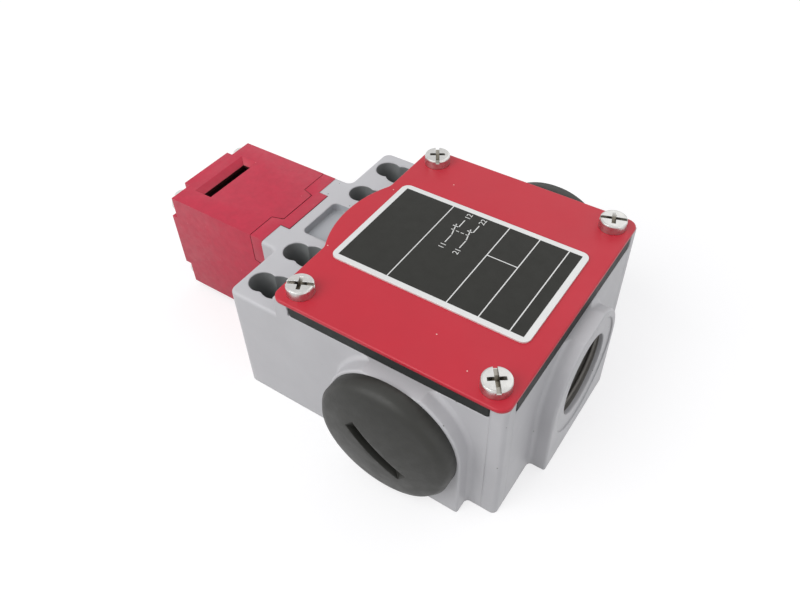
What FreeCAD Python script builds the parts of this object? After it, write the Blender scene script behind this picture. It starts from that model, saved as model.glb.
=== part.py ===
import FreeCAD, Part
import Sketcher
import math
import os
from types import SimpleNamespace

from FreeCAD import Placement, Rotation, Vector

# Tongue interlock switch: a die-cast casing with three conduit entries, a sheet steel cover,
# a square plastic head with two key slots, and inside them a cam, a plunger and a contact block.
# Millimetres. The casing lies on its back: +X to the open conduit entry, +Z out of the cover.
# The origin is the centre of the casing's flat back. Lengths along X in the sheet run from the
# shoulder's head end unless the name says otherwise.

SIZES = {
    # casing
    "body_length": 67.0, "body_width": 60.0, "shoulder_length": 13.5, "shoulder_height": 29.4,
    "rim_height": 31.2, "wall_thickness": 3.0, "head_wall": 3.6, "floor_thickness": 3.0,
    "tail_corner": 4.0, "shoulder_corner": 2.0, "lug_length": 3.5, "lug_width": 3.6,
    "neck_length": 4.3, "neck_width": 28.6, "neck_bottom": 1.5, "neck_flare": 1.5,
    "casting_edge": 0.8, "boss_edge": 0.5, "boss_root": 1.0,
    "pocket_start": 1.2, "pocket_width": 12.7, "pocket_depth": 2.0, "pocket_corner": 1.5,
    # conduit entries
    "entry_height": 17.0, "entry_inset": 22.5, "entry_radius": 9.35, "boss_rise": 3.85,
    "side_boss_radius": 15.7, "tail_boss_radius": 15.0, "ring_radius": 13.3, "ring_depth": 0.3,
    # fixing slots, each of two overlapping round holes over a round screw hole
    "outer_slot_inset": 6.0, "inner_slot_y": 12.5, "lobe_front_start": 4.55, "lobe_front_radius": 3.0,
    "lobe_back_start": 8.3, "lobe_back_radius": 3.5, "lobe_inset": 0.35,
    "fixing_start": 6.4, "fixing_radius": 2.65, "fixing_web": 5.0,
    # cover, gasket and plate
    "gasket_thickness": 3.3, "gasket_inset": 0.05, "gasket_land": 3.5, "gasket_corner": 0.8,
    "screw_ring": 3.3,
    "cover_thickness": 0.8, "cover_overhang": 0.5, "cover_head_gap": 0.2, "cover_corner": 2.5,
    "cover_edge": 0.4, "bulge_rise": 3.2, "bulge_width": 25.0, "bulge_blend": 3.0,
    "cover_screw_lead": 4.34, "cover_screw_tail": 4.52, "cover_screw_side": 3.96,
    "cover_screw_hole": 1.8, "cover_screw_depth": 13.0, "pillar_radius": 3.8,
    "plate_start": 16.3, "plate_length": 46.4, "plate_width": 29.2, "plate_thickness": 0.4,
    "plate_corner": 1.8,
    # screws
    "running_gap": 0.05, "seat_gap": 0.02,
    "cover_head_radius": 3.0, "cover_head_height": 2.4,
    "head_screw_radius": 1.45, "head_screw_head": 2.7, "head_screw_height": 1.9,
    "head_screw_offset": 10.7, "head_screw_bite": 5.0,
    # plugs
    "plug_radius": 15.15, "plug_flange": 4.0, "plug_bevel_rise": 1.2, "plug_bevel_width": 0.95,
    "plug_dome": 2.2, "plug_shank": 7.5, "coin_radius": 11.6, "coin_width": 3.0,
    "coin_depth": 3.5, "coin_tilt": 53.0, "seal_radius": 11.6, "seal_section": 1.6,
    # head
    "head_width": 27.7, "plunger_height": 15.65, "head_length": 29.2, "head_seam": 3.8,
    "head_wall_thickness": 2.3, "head_end_wall": 3.2, "cavity_width": 16.0,
    "cross_rise": 1.7, "cross_width": 15.4, "seam_gap": 0.12, "seam_tab_length": 2.9,
    "seam_tab_root": 12.2, "seam_tab_tip": 10.4, "key_tab_length": 2.55,
    "key_tab_width": 14.4, "fit_gap": 0.15,
    "slot_width": 14.4, "slot_thickness": 2.3, "key_reach": 7.0,
    "funnel_side": 1.45, "funnel_end": 1.3, "funnel_depth": 1.47,
    # cam and plunger
    "cam_axis": 16.9, "cam_turn": 50.0, "plunger_stroke": 3.0, "cam_reach": 10.6,
    "cam_thickness": 4.4, "hub_radius": 5.0, "disc_radius": 7.2, "disc_width": 13.0,
    "notch_width": 3.2, "notch_depth": 2.2, "collar_radius": 3.4, "rotor_gap": 0.2,
    "axle_radius": 1.5, "axle_length": 22.8, "prong_gap": 0.2, "follower_gap": 0.3,
    "follower_radius": 5.5, "follower_thickness": 2.0, "plunger_radius": 3.0,
    "sleeve_radius": 6.8, "sleeve_bore": 5.8, "sleeve_length": 8.2, "sleeve_end": 1.6,
    "neck_bore": 7.0, "seal_length": 2.0, "seal_outer": 5.0,
    "plunger_clearance": 0.4,
    # contact block
    "block_gap": 0.6, "block_length": 31.5, "block_width": 28.0, "block_height": 17.7,
    "block_wall": 1.6, "block_seat": 0.05, "block_foot": 6.0, "block_foot_height": 3.2,
    "block_foot_width": 20.0, "block_screw_y": 6.5, "block_screw_skin": 0.8,
    "deck_thickness": 2.0, "rib_height": 4.5, "rib_thickness": 1.2,
    "carrier_width": 8.0, "carrier_height": 9.4, "carrier_length": 20.3, "end_gap": 0.3,
    "nose_rise": 0.3, "nose_radius": 2.6, "nose_gap": 0.1, "slide_gap": 0.15,
    "window_length": 5.0, "window_height": 6.6, "window_start": 2.1, "pole_pitch": 8.8,
    "bridge_thickness": 1.0, "bridge_height": 4.0, "bridge_width": 22.0, "contact_gap": 0.1,
    "terminal_thickness": 0.8, "terminal_y": 9.5, "terminal_width": 5.6, "terminal_length": 7.2,
    "tip_radius": 1.4, "tip_height": 0.5, "terminal_screw_start": 4.2, "terminal_screw": 1.7,
    "terminal_screw_length": 3.3, "terminal_head": 2.7, "terminal_head_height": 2.1,
    "clamp_size": 5.4, "clamp_thickness": 0.7,
    # springs
    "plunger_spring_radius": 4.6, "plunger_spring_wire": 0.8, "carrier_spring_radius": 2.0,
    "carrier_spring_wire": 0.5, "bridge_spring_radius": 1.6, "bridge_spring_wire": 0.45,
    "carrier_spring_bore": 2.5, "carrier_spring_well": 3.2,
    # earth terminal
    "earth_inset": 7.6, "earth_y": 14.5, "earth_boss_radius": 4.2, "earth_boss_height": 4.5,
    "earth_screw_radius": 1.95, "earth_head_radius": 3.7, "earth_head_height": 2.4,
}


class Length:
    """A length that carries its value and the formula that ties it to the sheet."""

    def __init__(self, value, formula):
        self.value = float(value)
        self.formula = str(formula)

    def __add__(self, other):
        other = length(other)
        return Length(self.value + other.value, f"({self.formula} + {other.formula})")

    def __sub__(self, other):
        other = length(other)
        return Length(self.value - other.value, f"({self.formula} - {other.formula})")

    def __mul__(self, other):
        other = length(other)
        return Length(self.value * other.value, f"({self.formula} * {other.formula})")

    def __truediv__(self, other):
        other = length(other)
        return Length(self.value / other.value, f"({self.formula} / {other.formula})")

    def __neg__(self):
        return length(0) - self

    def __rmul__(self, other):
        return length(other) * self

    def __radd__(self, other):
        return length(other) + self

    def __rsub__(self, other):
        return length(other) - self


def length(number):
    """The number as a Length, whether it is one already or a plain number."""
    return number if isinstance(number, Length) else Length(number, repr(float(number)))


doc = FreeCAD.newDocument("tongue_interlock_switch")
sheet = doc.addObject("Spreadsheet::Sheet", "Sizes")
for row, (alias, value) in enumerate(SIZES.items(), 1):
    sheet.set(f"A{row}", alias)
    sheet.set(f"B{row}", str(value))
    sheet.setAlias(f"B{row}", alias)
doc.recompute()
S = SimpleNamespace(**{alias: Length(sheet.get(alias), f"Sizes.{alias}") for alias in SIZES})

# Places that several pieces share.
shoulder_face = -S.body_length / 2
tail_face = S.body_length / 2
chamber_face = shoulder_face + S.shoulder_length
chamber_start = chamber_face + S.head_wall
block_start = chamber_start + S.block_gap
block_end = block_start + S.block_length
block_screw_x = block_end + S.block_foot / 2
chamber_end = tail_face - S.wall_thickness
cover_bottom = S.rim_height + S.gasket_thickness
cover_top = cover_bottom + S.cover_thickness
axis_height = S.plunger_height
neck_face = shoulder_face - S.neck_length
seam_face = neck_face - S.head_seam
end_face = neck_face - S.head_length
cam_x = neck_face - S.cam_axis
entry_x = tail_face - S.entry_inset
boss_face = S.body_width / 2 + S.boss_rise
outer_slot_y = S.body_width / 2 - S.outer_slot_inset
earth_x = tail_face - S.earth_inset
screw_places = [
    (x, side * (S.body_width / 2 - S.cover_screw_side))
    for x in (chamber_face + S.cover_screw_lead, tail_face - S.cover_screw_tail)
    for side in (-1, 1)
]
head_screw_places = [
    (side * S.head_screw_offset, axis_height + up * S.head_screw_offset)
    for side in (-1, 1) for up in (-1, 1)
]

PARTS = {}


def keep(name, item):
    """Name a finished sub-part after its file."""
    item.Label = name
    PARTS[name] = item
    return item


def ordered(*sizes):
    """Lengths from the lowest to the highest."""
    return sorted(sizes, key=lambda size: size.value)


def tie(item, path, size):
    """Bind one property to the sheet."""
    size = length(size)
    item.setExpression(path, size.formula)


# ---- plain solids -------------------------------------------------------------------------

def box(name, x, y, z):
    """A block between a low and a high end on each axis."""
    item = doc.addObject("Part::Box", name)
    for side, axis, (low, high) in (("Length", "x", x), ("Width", "y", y), ("Height", "z", z)):
        tie(item, side, length(high) - low)
        tie(item, f"Placement.Base.{axis}", low)
    return item


TURNS = {
    "x": Rotation(Vector(0, 1, 0), 90),
    "y": Rotation(Vector(1, 0, 0), -90),
    "z": Rotation(),
}


def rod(name, axis, radius, ends, centre):
    """A cylinder along an axis, its centre given on the two other axes in X, Y, Z order."""
    item = doc.addObject("Part::Cylinder", name)
    item.Placement = Placement(Vector(), TURNS[axis])
    low, high = length(ends[0]), length(ends[1])
    tie(item, "Radius", radius)
    tie(item, "Height", high - low)
    others = [other for other in "xyz" if other != axis]
    for other, place in zip(others, centre):
        tie(item, f"Placement.Base.{other}", place)
    tie(item, f"Placement.Base.{axis}", low)
    return item


def taper(name, axis, radii, ends, centre):
    """A cone frustum along an axis, from the first radius to the second."""
    item = doc.addObject("Part::Cone", name)
    item.Placement = Placement(Vector(), TURNS[axis])
    low, high = length(ends[0]), length(ends[1])
    tie(item, "Radius1", radii[0])
    tie(item, "Radius2", radii[1])
    tie(item, "Height", high - low)
    others = [other for other in "xyz" if other != axis]
    for other, place in zip(others, centre):
        tie(item, f"Placement.Base.{other}", place)
    tie(item, f"Placement.Base.{axis}", low)
    return item


def fuse(name, *items):
    """One solid of several."""
    item = doc.addObject("Part::MultiFuse", name)
    item.Shapes = list(items)
    item.Refine = True
    return item


def cut(name, base, *tools):
    """The base less the tools."""
    item = doc.addObject("Part::Cut", name)
    item.Base = base
    item.Tool = tools[0] if len(tools) == 1 else fuse(f"{name}_tools", *tools)
    item.Refine = True
    return item


def group(name, *items):
    """Several separate solids kept as one sub-part."""
    item = doc.addObject("Part::Compound", name)
    item.Links = list(items)
    return item


# ---- sketched solids ----------------------------------------------------------------------

def new_body(name):
    """An empty body that sketches and features go into."""
    return doc.addObject("PartDesign::Body", name)


def sketch_on(body, role, offset=0.0):
    """A sketch on one of the body's own planes, moved along the plane's normal."""
    plane = next(item for item in body.Origin.OriginFeatures if item.Role == role)
    sketch = body.newObject("Sketcher::SketchObject", f"{body.Name}_sketch")
    sketch.AttachmentSupport = (plane, [""])
    sketch.MapMode = "FlatFace"
    tie(sketch, "AttachmentOffset.Base.z", offset)
    return sketch


def pin_point(sketch, geometry, position, x, y):
    """Tie one point of a sketch to its origin."""
    for kind, place in (("DistanceX", length(x)), ("DistanceY", length(y))):
        index = sketch.addConstraint(
            Sketcher.Constraint(kind, -1, 1, geometry, position, place.value))
        tie(sketch, f"Constraints[{index}]", place)


def draw(sketch, corners):
    """Close an outline through the corners. A corner with a third value starts an arc of that
    radius to the next corner, anticlockwise if the radius is given as positive."""
    spans = []
    for here, there in zip(corners, corners[1:] + corners[:1]):
        x0, y0 = (length(number) for number in here[:2])
        x1, y1 = (length(number) for number in there[:2])
        start, end = Vector(x0.value, y0.value), Vector(x1.value, y1.value)
        if len(here) == 2:
            index = sketch.addGeometry(Part.LineSegment(start, end))
            spans.append((index, 1, 2))
            continue
        radius, turn = here[2]
        chord = end - start
        middle = (start + end) * 0.5
        reach = math.sqrt(radius.value ** 2 - chord.Length ** 2 / 4)
        normal = Vector(-chord.y, chord.x).normalize() * turn
        centre = middle + normal * reach
        first, last = (start, end) if turn > 0 else (end, start)
        angles = [math.atan2(point.y - centre.y, point.x - centre.x) for point in (first, last)]
        circle = Part.Circle(centre, Vector(0, 0, 1), radius.value)
        index = sketch.addGeometry(Part.ArcOfCircle(circle, angles[0], angles[1]))
        spans.append((index, 1, 2) if turn > 0 else (index, 2, 1))
        fixed = sketch.addConstraint(Sketcher.Constraint("Radius", index, radius.value))
        tie(sketch, f"Constraints[{fixed}]", radius)
    for number, (corner, (index, first, last)) in enumerate(zip(corners, spans)):
        before, _, before_end = spans[number - 1]
        sketch.addConstraint(Sketcher.Constraint("Coincident", before, before_end, index, first))
        pin_point(sketch, index, first, corner[0], corner[1])


def draw_circle(sketch, x, y, radius):
    """A circle tied to the sketch's origin."""
    x, y, radius = length(x), length(y), length(radius)
    circle = Part.Circle(Vector(x.value, y.value), Vector(0, 0, 1), radius.value)
    index = sketch.addGeometry(circle)
    fixed = sketch.addConstraint(Sketcher.Constraint("Radius", index, radius.value))
    tie(sketch, f"Constraints[{fixed}]", radius)
    pin_point(sketch, index, 3, x, y)


def draw_circles(sketch, places, radius):
    """Equal circles at several places."""
    for x, y in places:
        draw_circle(sketch, x, y, radius)


def rectangle(x, y):
    """The four corners of a rectangle."""
    return [(x[0], y[0]), (x[1], y[0]), (x[1], y[1]), (x[0], y[1])]


def extrude(body, kind, sketch, depth, reverse=False, symmetric=False, trims=False):
    """Pad or pocket a sketch, and check that it changed the solid unless it only trims."""
    before = body.Shape.Volume if body.Tip else 0.0
    item = body.newObject(f"PartDesign::{kind}", f"{body.Name}_{kind.lower()}")
    item.Profile = sketch
    tie(item, "Length", depth)
    item.SideType = "Symmetric" if symmetric else "One side"
    item.Reversed = reverse
    doc.recompute()
    grown = body.Shape.Volume - before
    if not trims and ((grown <= 0) if kind == "Pad" else (grown >= 0)):
        raise RuntimeError(f"{item.Name} leaves {body.Name} unchanged")
    return item


def pad(body, sketch, depth, **ways):
    """Raise a sketch into the body."""
    return extrude(body, "Pad", sketch, depth, **ways)


def pocket(body, sketch, depth, **ways):
    """Cut a sketch out of the body."""
    return extrude(body, "Pocket", sketch, depth, **ways)


def round_edges(body, radius, wanted):
    """Round the edges of the body for which wanted(edge) holds."""
    tip = body.Tip
    names = [f"Edge{n}" for n, edge in enumerate(tip.Shape.Edges, 1) if wanted(edge)]
    item = body.newObject("PartDesign::Fillet", f"{body.Name}_round")
    item.Base = (tip, names)
    tie(item, "Radius", radius)
    doc.recompute()
    return item


def upright_at(edge, x, y):
    """Whether an edge stands along Z at the given place."""
    ends = [vertex.Point for vertex in edge.Vertexes]
    if len(ends) != 2 or abs(ends[0].z - ends[1].z) < 0.1:
        return False
    return all(abs(end.x - x) < 1e-4 and abs(end.y - y) < 1e-4 for end in ends)


# ---- casing -------------------------------------------------------------------------------

def make_housing():
    """The die-cast casing: chamber, shoulder, neck, three bosses, lugs and every bore."""
    half = S.body_width / 2
    body = new_body("housing")

    # Two side bosses and the tail boss, each an arch standing on the back plane.
    sketch = sketch_on(body, "XZ_Plane")
    draw_circle(sketch, entry_x, S.entry_height, S.side_boss_radius)
    pad(body, sketch, 2 * boss_face, symmetric=True)
    sketch = sketch_on(body, "XZ_Plane")
    arch = (entry_x - S.side_boss_radius, entry_x + S.side_boss_radius)
    draw(sketch, rectangle(arch, (0, S.entry_height)))
    pad(body, sketch, 2 * boss_face, symmetric=True)
    sketch = sketch_on(body, "YZ_Plane", entry_x)
    draw_circle(sketch, 0, S.entry_height, S.tail_boss_radius)
    pad(body, sketch, tail_face + S.boss_rise - entry_x)
    sketch = sketch_on(body, "YZ_Plane", entry_x)
    draw(sketch, rectangle((-S.tail_boss_radius, S.tail_boss_radius), (0, S.entry_height)))
    pad(body, sketch, tail_face + S.boss_rise - entry_x)
    round_edges(body, S.boss_edge, on_boss_rims)
    sketch = sketch_on(body, "XY_Plane", S.rim_height)
    draw(sketch, rectangle((-S.body_length, S.body_length), (-S.body_width, S.body_width)))
    pocket(body, sketch, S.rim_height, reverse=True, trims=True)

    # The chamber, the lower shoulder and the neck that carries the head.
    sketch = sketch_on(body, "XY_Plane")
    draw(sketch, rectangle((chamber_face, tail_face), (-half, half)))
    pad(body, sketch, S.rim_height)
    sketch = sketch_on(body, "XY_Plane")
    draw(sketch, rectangle((shoulder_face, chamber_face), (-half, half)))
    pad(body, sketch, S.shoulder_height)
    neck = S.neck_width / 2
    sketch = sketch_on(body, "YZ_Plane", neck_face)
    draw(sketch, rectangle((-neck, neck), (S.neck_bottom, S.shoulder_height)))
    pad(body, sketch, S.neck_length + S.wall_thickness)

    round_edges(body, S.neck_flare, lambda edge: any(
        upright_at(edge, shoulder_face.value, side * neck.value) for side in (-1, 1)))
    round_edges(body, S.boss_root, at_boss_roots)

    # Lugs at the four corners carry the cover; pillars inside take its screws.
    sketch = sketch_on(body, "XY_Plane", S.floor_thickness)
    for x in ((chamber_face, chamber_face + S.lug_length), (tail_face - S.lug_length, tail_face)):
        for side in (-1, 1):
            draw(sketch, rectangle(x, ordered(side * half, side * (half - S.lug_width))))
    pad(body, sketch, cover_bottom - S.floor_thickness)

    # Round seats in the lugs clear the gasket's rings.
    sketch = sketch_on(body, "XY_Plane", cover_bottom)
    draw_circles(sketch, screw_places, S.screw_ring + S.nose_gap)
    pocket(body, sketch, S.gasket_thickness)

    # The square chamber, then the screw pillars in its corners.
    inner = half - S.wall_thickness
    sketch = sketch_on(body, "XY_Plane", S.rim_height)
    draw(sketch, rectangle((chamber_start, chamber_end), (-inner, inner)))
    pocket(body, sketch, S.rim_height - S.floor_thickness)
    sketch = sketch_on(body, "XY_Plane", S.floor_thickness / 2)
    draw_circles(sketch, screw_places, S.pillar_radius)
    pad(body, sketch, S.rim_height - S.floor_thickness / 2)
    sketch = sketch_on(body, "XY_Plane", S.floor_thickness / 2)
    draw_circle(sketch, earth_x, S.earth_y, S.earth_boss_radius)
    pad(body, sketch, S.floor_thickness / 2 + S.earth_boss_height)

    cut_entries(body)
    cut_neck(body)
    cut_fixings(body)
    soften_housing(body)
    return keep("housing", body)


def on_boss_rims(edge):
    """Whether an edge goes round the outer face of one of the three bosses."""
    ends = [vertex.Point for vertex in edge.Vertexes]
    side = all(abs(abs(end.y) - boss_face.value) < 1e-4 for end in ends)
    tail = all(abs(end.x - tail_face.value - S.boss_rise.value) < 1e-4 for end in ends)
    return (side or tail) and max(end.z for end in ends) > 1e-4


def at_boss_roots(edge):
    """Whether an edge is where one of the three bosses meets its wall."""
    ends = [vertex.Point for vertex in edge.Vertexes]
    if len(ends) != 2 or (ends[0] - ends[1]).Length < 1e-3:
        return False
    middle = edge.valueAt((edge.FirstParameter + edge.LastParameter) / 2)
    points = ends + [middle]
    half = S.body_width.value / 2
    on_side = all(abs(abs(point.y) - half) < 1e-4 for point in points)
    on_tail = all(abs(point.x - tail_face.value) < 1e-4 for point in points)
    centre, radius = ((entry_x.value, S.side_boss_radius.value) if on_side
                      else (0, S.tail_boss_radius.value))
    across = middle.x if on_side else middle.y
    rise = max(middle.z - S.entry_height.value, 0)
    return (on_side or on_tail) and abs(math.hypot(across - centre, rise) - radius) < 1e-3


def cut_entries(body):
    """Three conduit entries, the open one inside a shallow ring."""
    sketch = sketch_on(body, "XZ_Plane")
    draw_circle(sketch, entry_x, S.entry_height, S.entry_radius)
    pocket(body, sketch, 2 * boss_face, symmetric=True)
    sketch = sketch_on(body, "YZ_Plane", tail_face + S.boss_rise)
    draw_circle(sketch, 0, S.entry_height, S.entry_radius)
    pocket(body, sketch, S.boss_rise + S.wall_thickness + 1)
    sketch = sketch_on(body, "YZ_Plane", tail_face + S.boss_rise)
    draw_circle(sketch, 0, S.entry_height, S.ring_radius)
    pocket(body, sketch, S.ring_depth)


def cut_neck(body):
    """The cross-shaped seat for the head, the plunger's bore and the head's screw holes."""
    half_key = S.key_tab_width / 2 + S.fit_gap
    far = S.body_width
    for y, z in (((-half_key, half_key), (0, far)),
                 ((-far, far), (axis_height - half_key, axis_height + half_key))):
        sketch = sketch_on(body, "YZ_Plane", neck_face)
        draw(sketch, rectangle(y, z))
        pocket(body, sketch, S.key_tab_length + S.fit_gap, reverse=True)
    for radius, depth in ((S.neck_bore, S.sleeve_length + S.nose_gap),
                          (S.seal_outer, S.sleeve_length + S.nose_gap + S.seal_length),
                          (S.plunger_radius + S.plunger_clearance,
                           S.neck_length + S.shoulder_length + S.head_wall + 1)):
        sketch = sketch_on(body, "YZ_Plane", neck_face)
        draw_circle(sketch, 0, axis_height, radius)
        pocket(body, sketch, depth, reverse=True)
    sketch = sketch_on(body, "YZ_Plane", neck_face)
    draw_circles(sketch, head_screw_places, S.head_screw_radius + S.running_gap)
    pocket(body, sketch, S.head_screw_bite, reverse=True)


def cut_fixings(body):
    """Four fixing slots, the shoulder's pocket and every screw hole that opens upwards."""
    slots = [side * across for side in (-1, 1) for across in (outer_slot_y, S.inner_slot_y)]
    for start, radius, inset, depth in (
            (S.lobe_front_start, S.lobe_front_radius, 0, S.shoulder_height - S.fixing_web),
            (S.lobe_back_start, S.lobe_back_radius, S.lobe_inset,
             S.shoulder_height - S.fixing_web),
            (S.fixing_start, S.fixing_radius, 0, S.shoulder_height)):
        sketch = sketch_on(body, "XY_Plane", S.shoulder_height)
        places = [(shoulder_face + start, y - inset if y.value > 0 else y + inset) for y in slots]
        draw_circles(sketch, places, radius)
        pocket(body, sketch, depth)
    start = shoulder_face + S.pocket_start
    half = S.pocket_width / 2
    sketch = sketch_on(body, "XY_Plane", S.shoulder_height)
    draw(sketch, rectangle((start, chamber_face), (-half, half)))
    pocket(body, sketch, S.pocket_depth)
    round_edges(body, S.pocket_corner, lambda edge: (
        upright_at(edge, start.value, half.value) or upright_at(edge, start.value, -half.value)))
    sketch = sketch_on(body, "XY_Plane", S.rim_height)
    draw_circles(sketch, screw_places, S.cover_screw_hole)
    pocket(body, sketch, S.cover_screw_depth)
    sketch = sketch_on(body, "XY_Plane", S.floor_thickness + S.earth_boss_height)
    draw_circle(sketch, earth_x, S.earth_y,
                S.earth_screw_radius + S.running_gap)
    pocket(body, sketch, S.earth_boss_height + S.floor_thickness / 2)
    sketch = sketch_on(body, "XY_Plane", S.floor_thickness)
    draw_circles(sketch, [(block_screw_x, side * S.block_screw_y) for side in (-1, 1)],
                 S.terminal_screw + S.running_gap)
    pocket(body, sketch, S.floor_thickness - S.block_screw_skin)


def soften_housing(body):
    """Rounded upright corners and shoulder edges, as the casting has them."""
    half = S.body_width.value / 2
    for x, radius in ((tail_face, S.tail_corner), (shoulder_face, S.shoulder_corner)):
        round_edges(body, radius, lambda edge: (
            upright_at(edge, x.value, half) or upright_at(edge, x.value, -half)))

    def round_the_shoulder(edge):
        ends = [vertex.Point for vertex in edge.Vertexes]
        if len(ends) != 2 or any(abs(end.z - S.shoulder_height.value) > 1e-4 for end in ends):
            return False
        middle = edge.valueAt((edge.FirstParameter + edge.LastParameter) / 2)
        reach = abs(middle.y)
        ahead = middle.x < shoulder_face.value + S.casting_edge.value
        return reach > half - S.casting_edge.value or (
            ahead and reach > S.neck_width.value / 2 - 1e-3)

    round_edges(body, S.casting_edge, round_the_shoulder)


# ---- cover --------------------------------------------------------------------------------

def make_cover():
    """The sheet steel cover, bulged towards the head over the shoulder's pocket."""
    body = new_body("cover")
    start, end = chamber_face - S.cover_head_gap, tail_face
    half = S.body_width / 2 + S.cover_overhang
    bulge = S.bulge_width / 2
    radius = (bulge * bulge + S.bulge_rise * S.bulge_rise) / (2 * S.bulge_rise)
    sketch = sketch_on(body, "XY_Plane", cover_bottom)
    draw(sketch, [(start, half), (start, bulge, (radius, 1)), (start, -bulge), (start, -half),
                  (end, -half), (end, half)])
    pad(body, sketch, S.cover_thickness)
    sketch = sketch_on(body, "XY_Plane", cover_top)
    draw_circles(sketch, screw_places, S.cover_screw_hole + 2 * S.running_gap)
    pocket(body, sketch, S.cover_thickness)
    round_edges(body, S.cover_corner, lambda edge: any(
        upright_at(edge, x.value, side * half.value) for x in (start, end) for side in (-1, 1)))
    round_edges(body, S.bulge_blend, lambda edge: any(
        upright_at(edge, start.value, side * bulge.value) for side in (-1, 1)))
    round_edges(body, S.cover_edge, lambda edge: len(edge.Vertexes) == 2 and all(
        abs(vertex.Z - cover_top.value) < 1e-4 for vertex in edge.Vertexes))
    return keep("cover", body)


def make_gasket():
    """The rubber gasket on the chamber's rim, notched round the lugs."""
    body = new_body("cover_gasket")
    low, high = chamber_face + S.gasket_inset, tail_face - S.gasket_inset
    half = S.body_width / 2 - S.gasket_inset
    lug_low = chamber_face + S.lug_length + S.seat_gap
    lug_high = tail_face - S.lug_length - S.seat_gap
    lug_y = S.body_width / 2 - S.lug_width - S.seat_gap
    sketch = sketch_on(body, "XY_Plane", S.rim_height)
    draw(sketch, [
        (lug_low, half), (lug_low, lug_y), (low, lug_y), (low, -lug_y), (lug_low, -lug_y),
        (lug_low, -half), (lug_high, -half), (lug_high, -lug_y), (high, -lug_y), (high, lug_y),
        (lug_high, lug_y), (lug_high, half)])
    pad(body, sketch, S.gasket_thickness)
    round_edges(body, S.gasket_corner, lambda edge: any(
        upright_at(edge, x.value, side * y.value) for side in (-1, 1)
        for x, y in ((lug_low, half), (low, lug_y), (lug_high, half), (high, lug_y))))
    inner = half - S.gasket_land
    sketch = sketch_on(body, "XY_Plane", cover_bottom)
    draw(sketch, rectangle((low + S.gasket_land, high - S.gasket_land), (-inner, inner)))
    pocket(body, sketch, S.gasket_thickness)
    sketch = sketch_on(body, "XY_Plane", S.rim_height)
    draw_circles(sketch, screw_places, S.screw_ring)
    pad(body, sketch, S.gasket_thickness)
    sketch = sketch_on(body, "XY_Plane", cover_bottom)
    draw_circles(sketch, screw_places, S.cover_screw_hole + 2 * S.running_gap)
    pocket(body, sketch, S.gasket_thickness)
    return keep("cover_gasket", body)


def crossed_screw(name, at, head_z, head_radius, head_height, radius, depth):
    """A cheese-head screw standing on head_z, with a slot and a cross in its head."""
    x, y = at
    top = head_z + head_height
    edge = head_height / 5
    head = fuse(f"{name}_head",
                rod(f"{name}_drum", "z", head_radius, (head_z, top - edge), (x, y)),
                taper(f"{name}_crown", "z", (head_radius, head_radius - edge),
                      (top - edge, top), (x, y)),
                rod(f"{name}_shank", "z", radius, (head_z - depth, head_z), (x, y)))
    slot = head_radius / 6
    cross = head_radius * 0.6
    return cut(name, head,
               box(f"{name}_slot", (x - slot, x + slot), (y - head_radius, y + head_radius),
                   (top - head_height * 0.4, top)),
               box(f"{name}_cross", (x - cross, x + cross), (y - slot, y + slot),
                   (top - head_height * 0.6, top)))


def make_cover_screws():
    """Four screws through cover and gasket into the pillars."""
    screws = [
        crossed_screw(f"cover_screw_{n}", at, cover_top + S.seat_gap, S.cover_head_radius,
                      S.cover_head_height, S.cover_screw_hole - S.running_gap,
                      S.cover_screw_depth + S.gasket_thickness + S.cover_thickness - 1)
        for n, at in enumerate(screw_places, 1)]
    return keep("cover_screws", group("cover_screw_set", *screws))


def make_rating_plate():
    """The thin plate on the cover."""
    body = new_body("rating_plate")
    x = (shoulder_face + S.plate_start, shoulder_face + S.plate_start + S.plate_length)
    y = (-S.plate_width / 2, S.plate_width / 2)
    sketch = sketch_on(body, "XY_Plane", cover_top)
    draw(sketch, rectangle(x, y))
    pad(body, sketch, S.plate_thickness)
    round_edges(body, S.plate_corner, lambda edge: any(
        upright_at(edge, a.value, b.value) for a in x for b in y))
    return keep("rating_plate", body)


# ---- blanking plugs -----------------------------------------------------------------------

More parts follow.
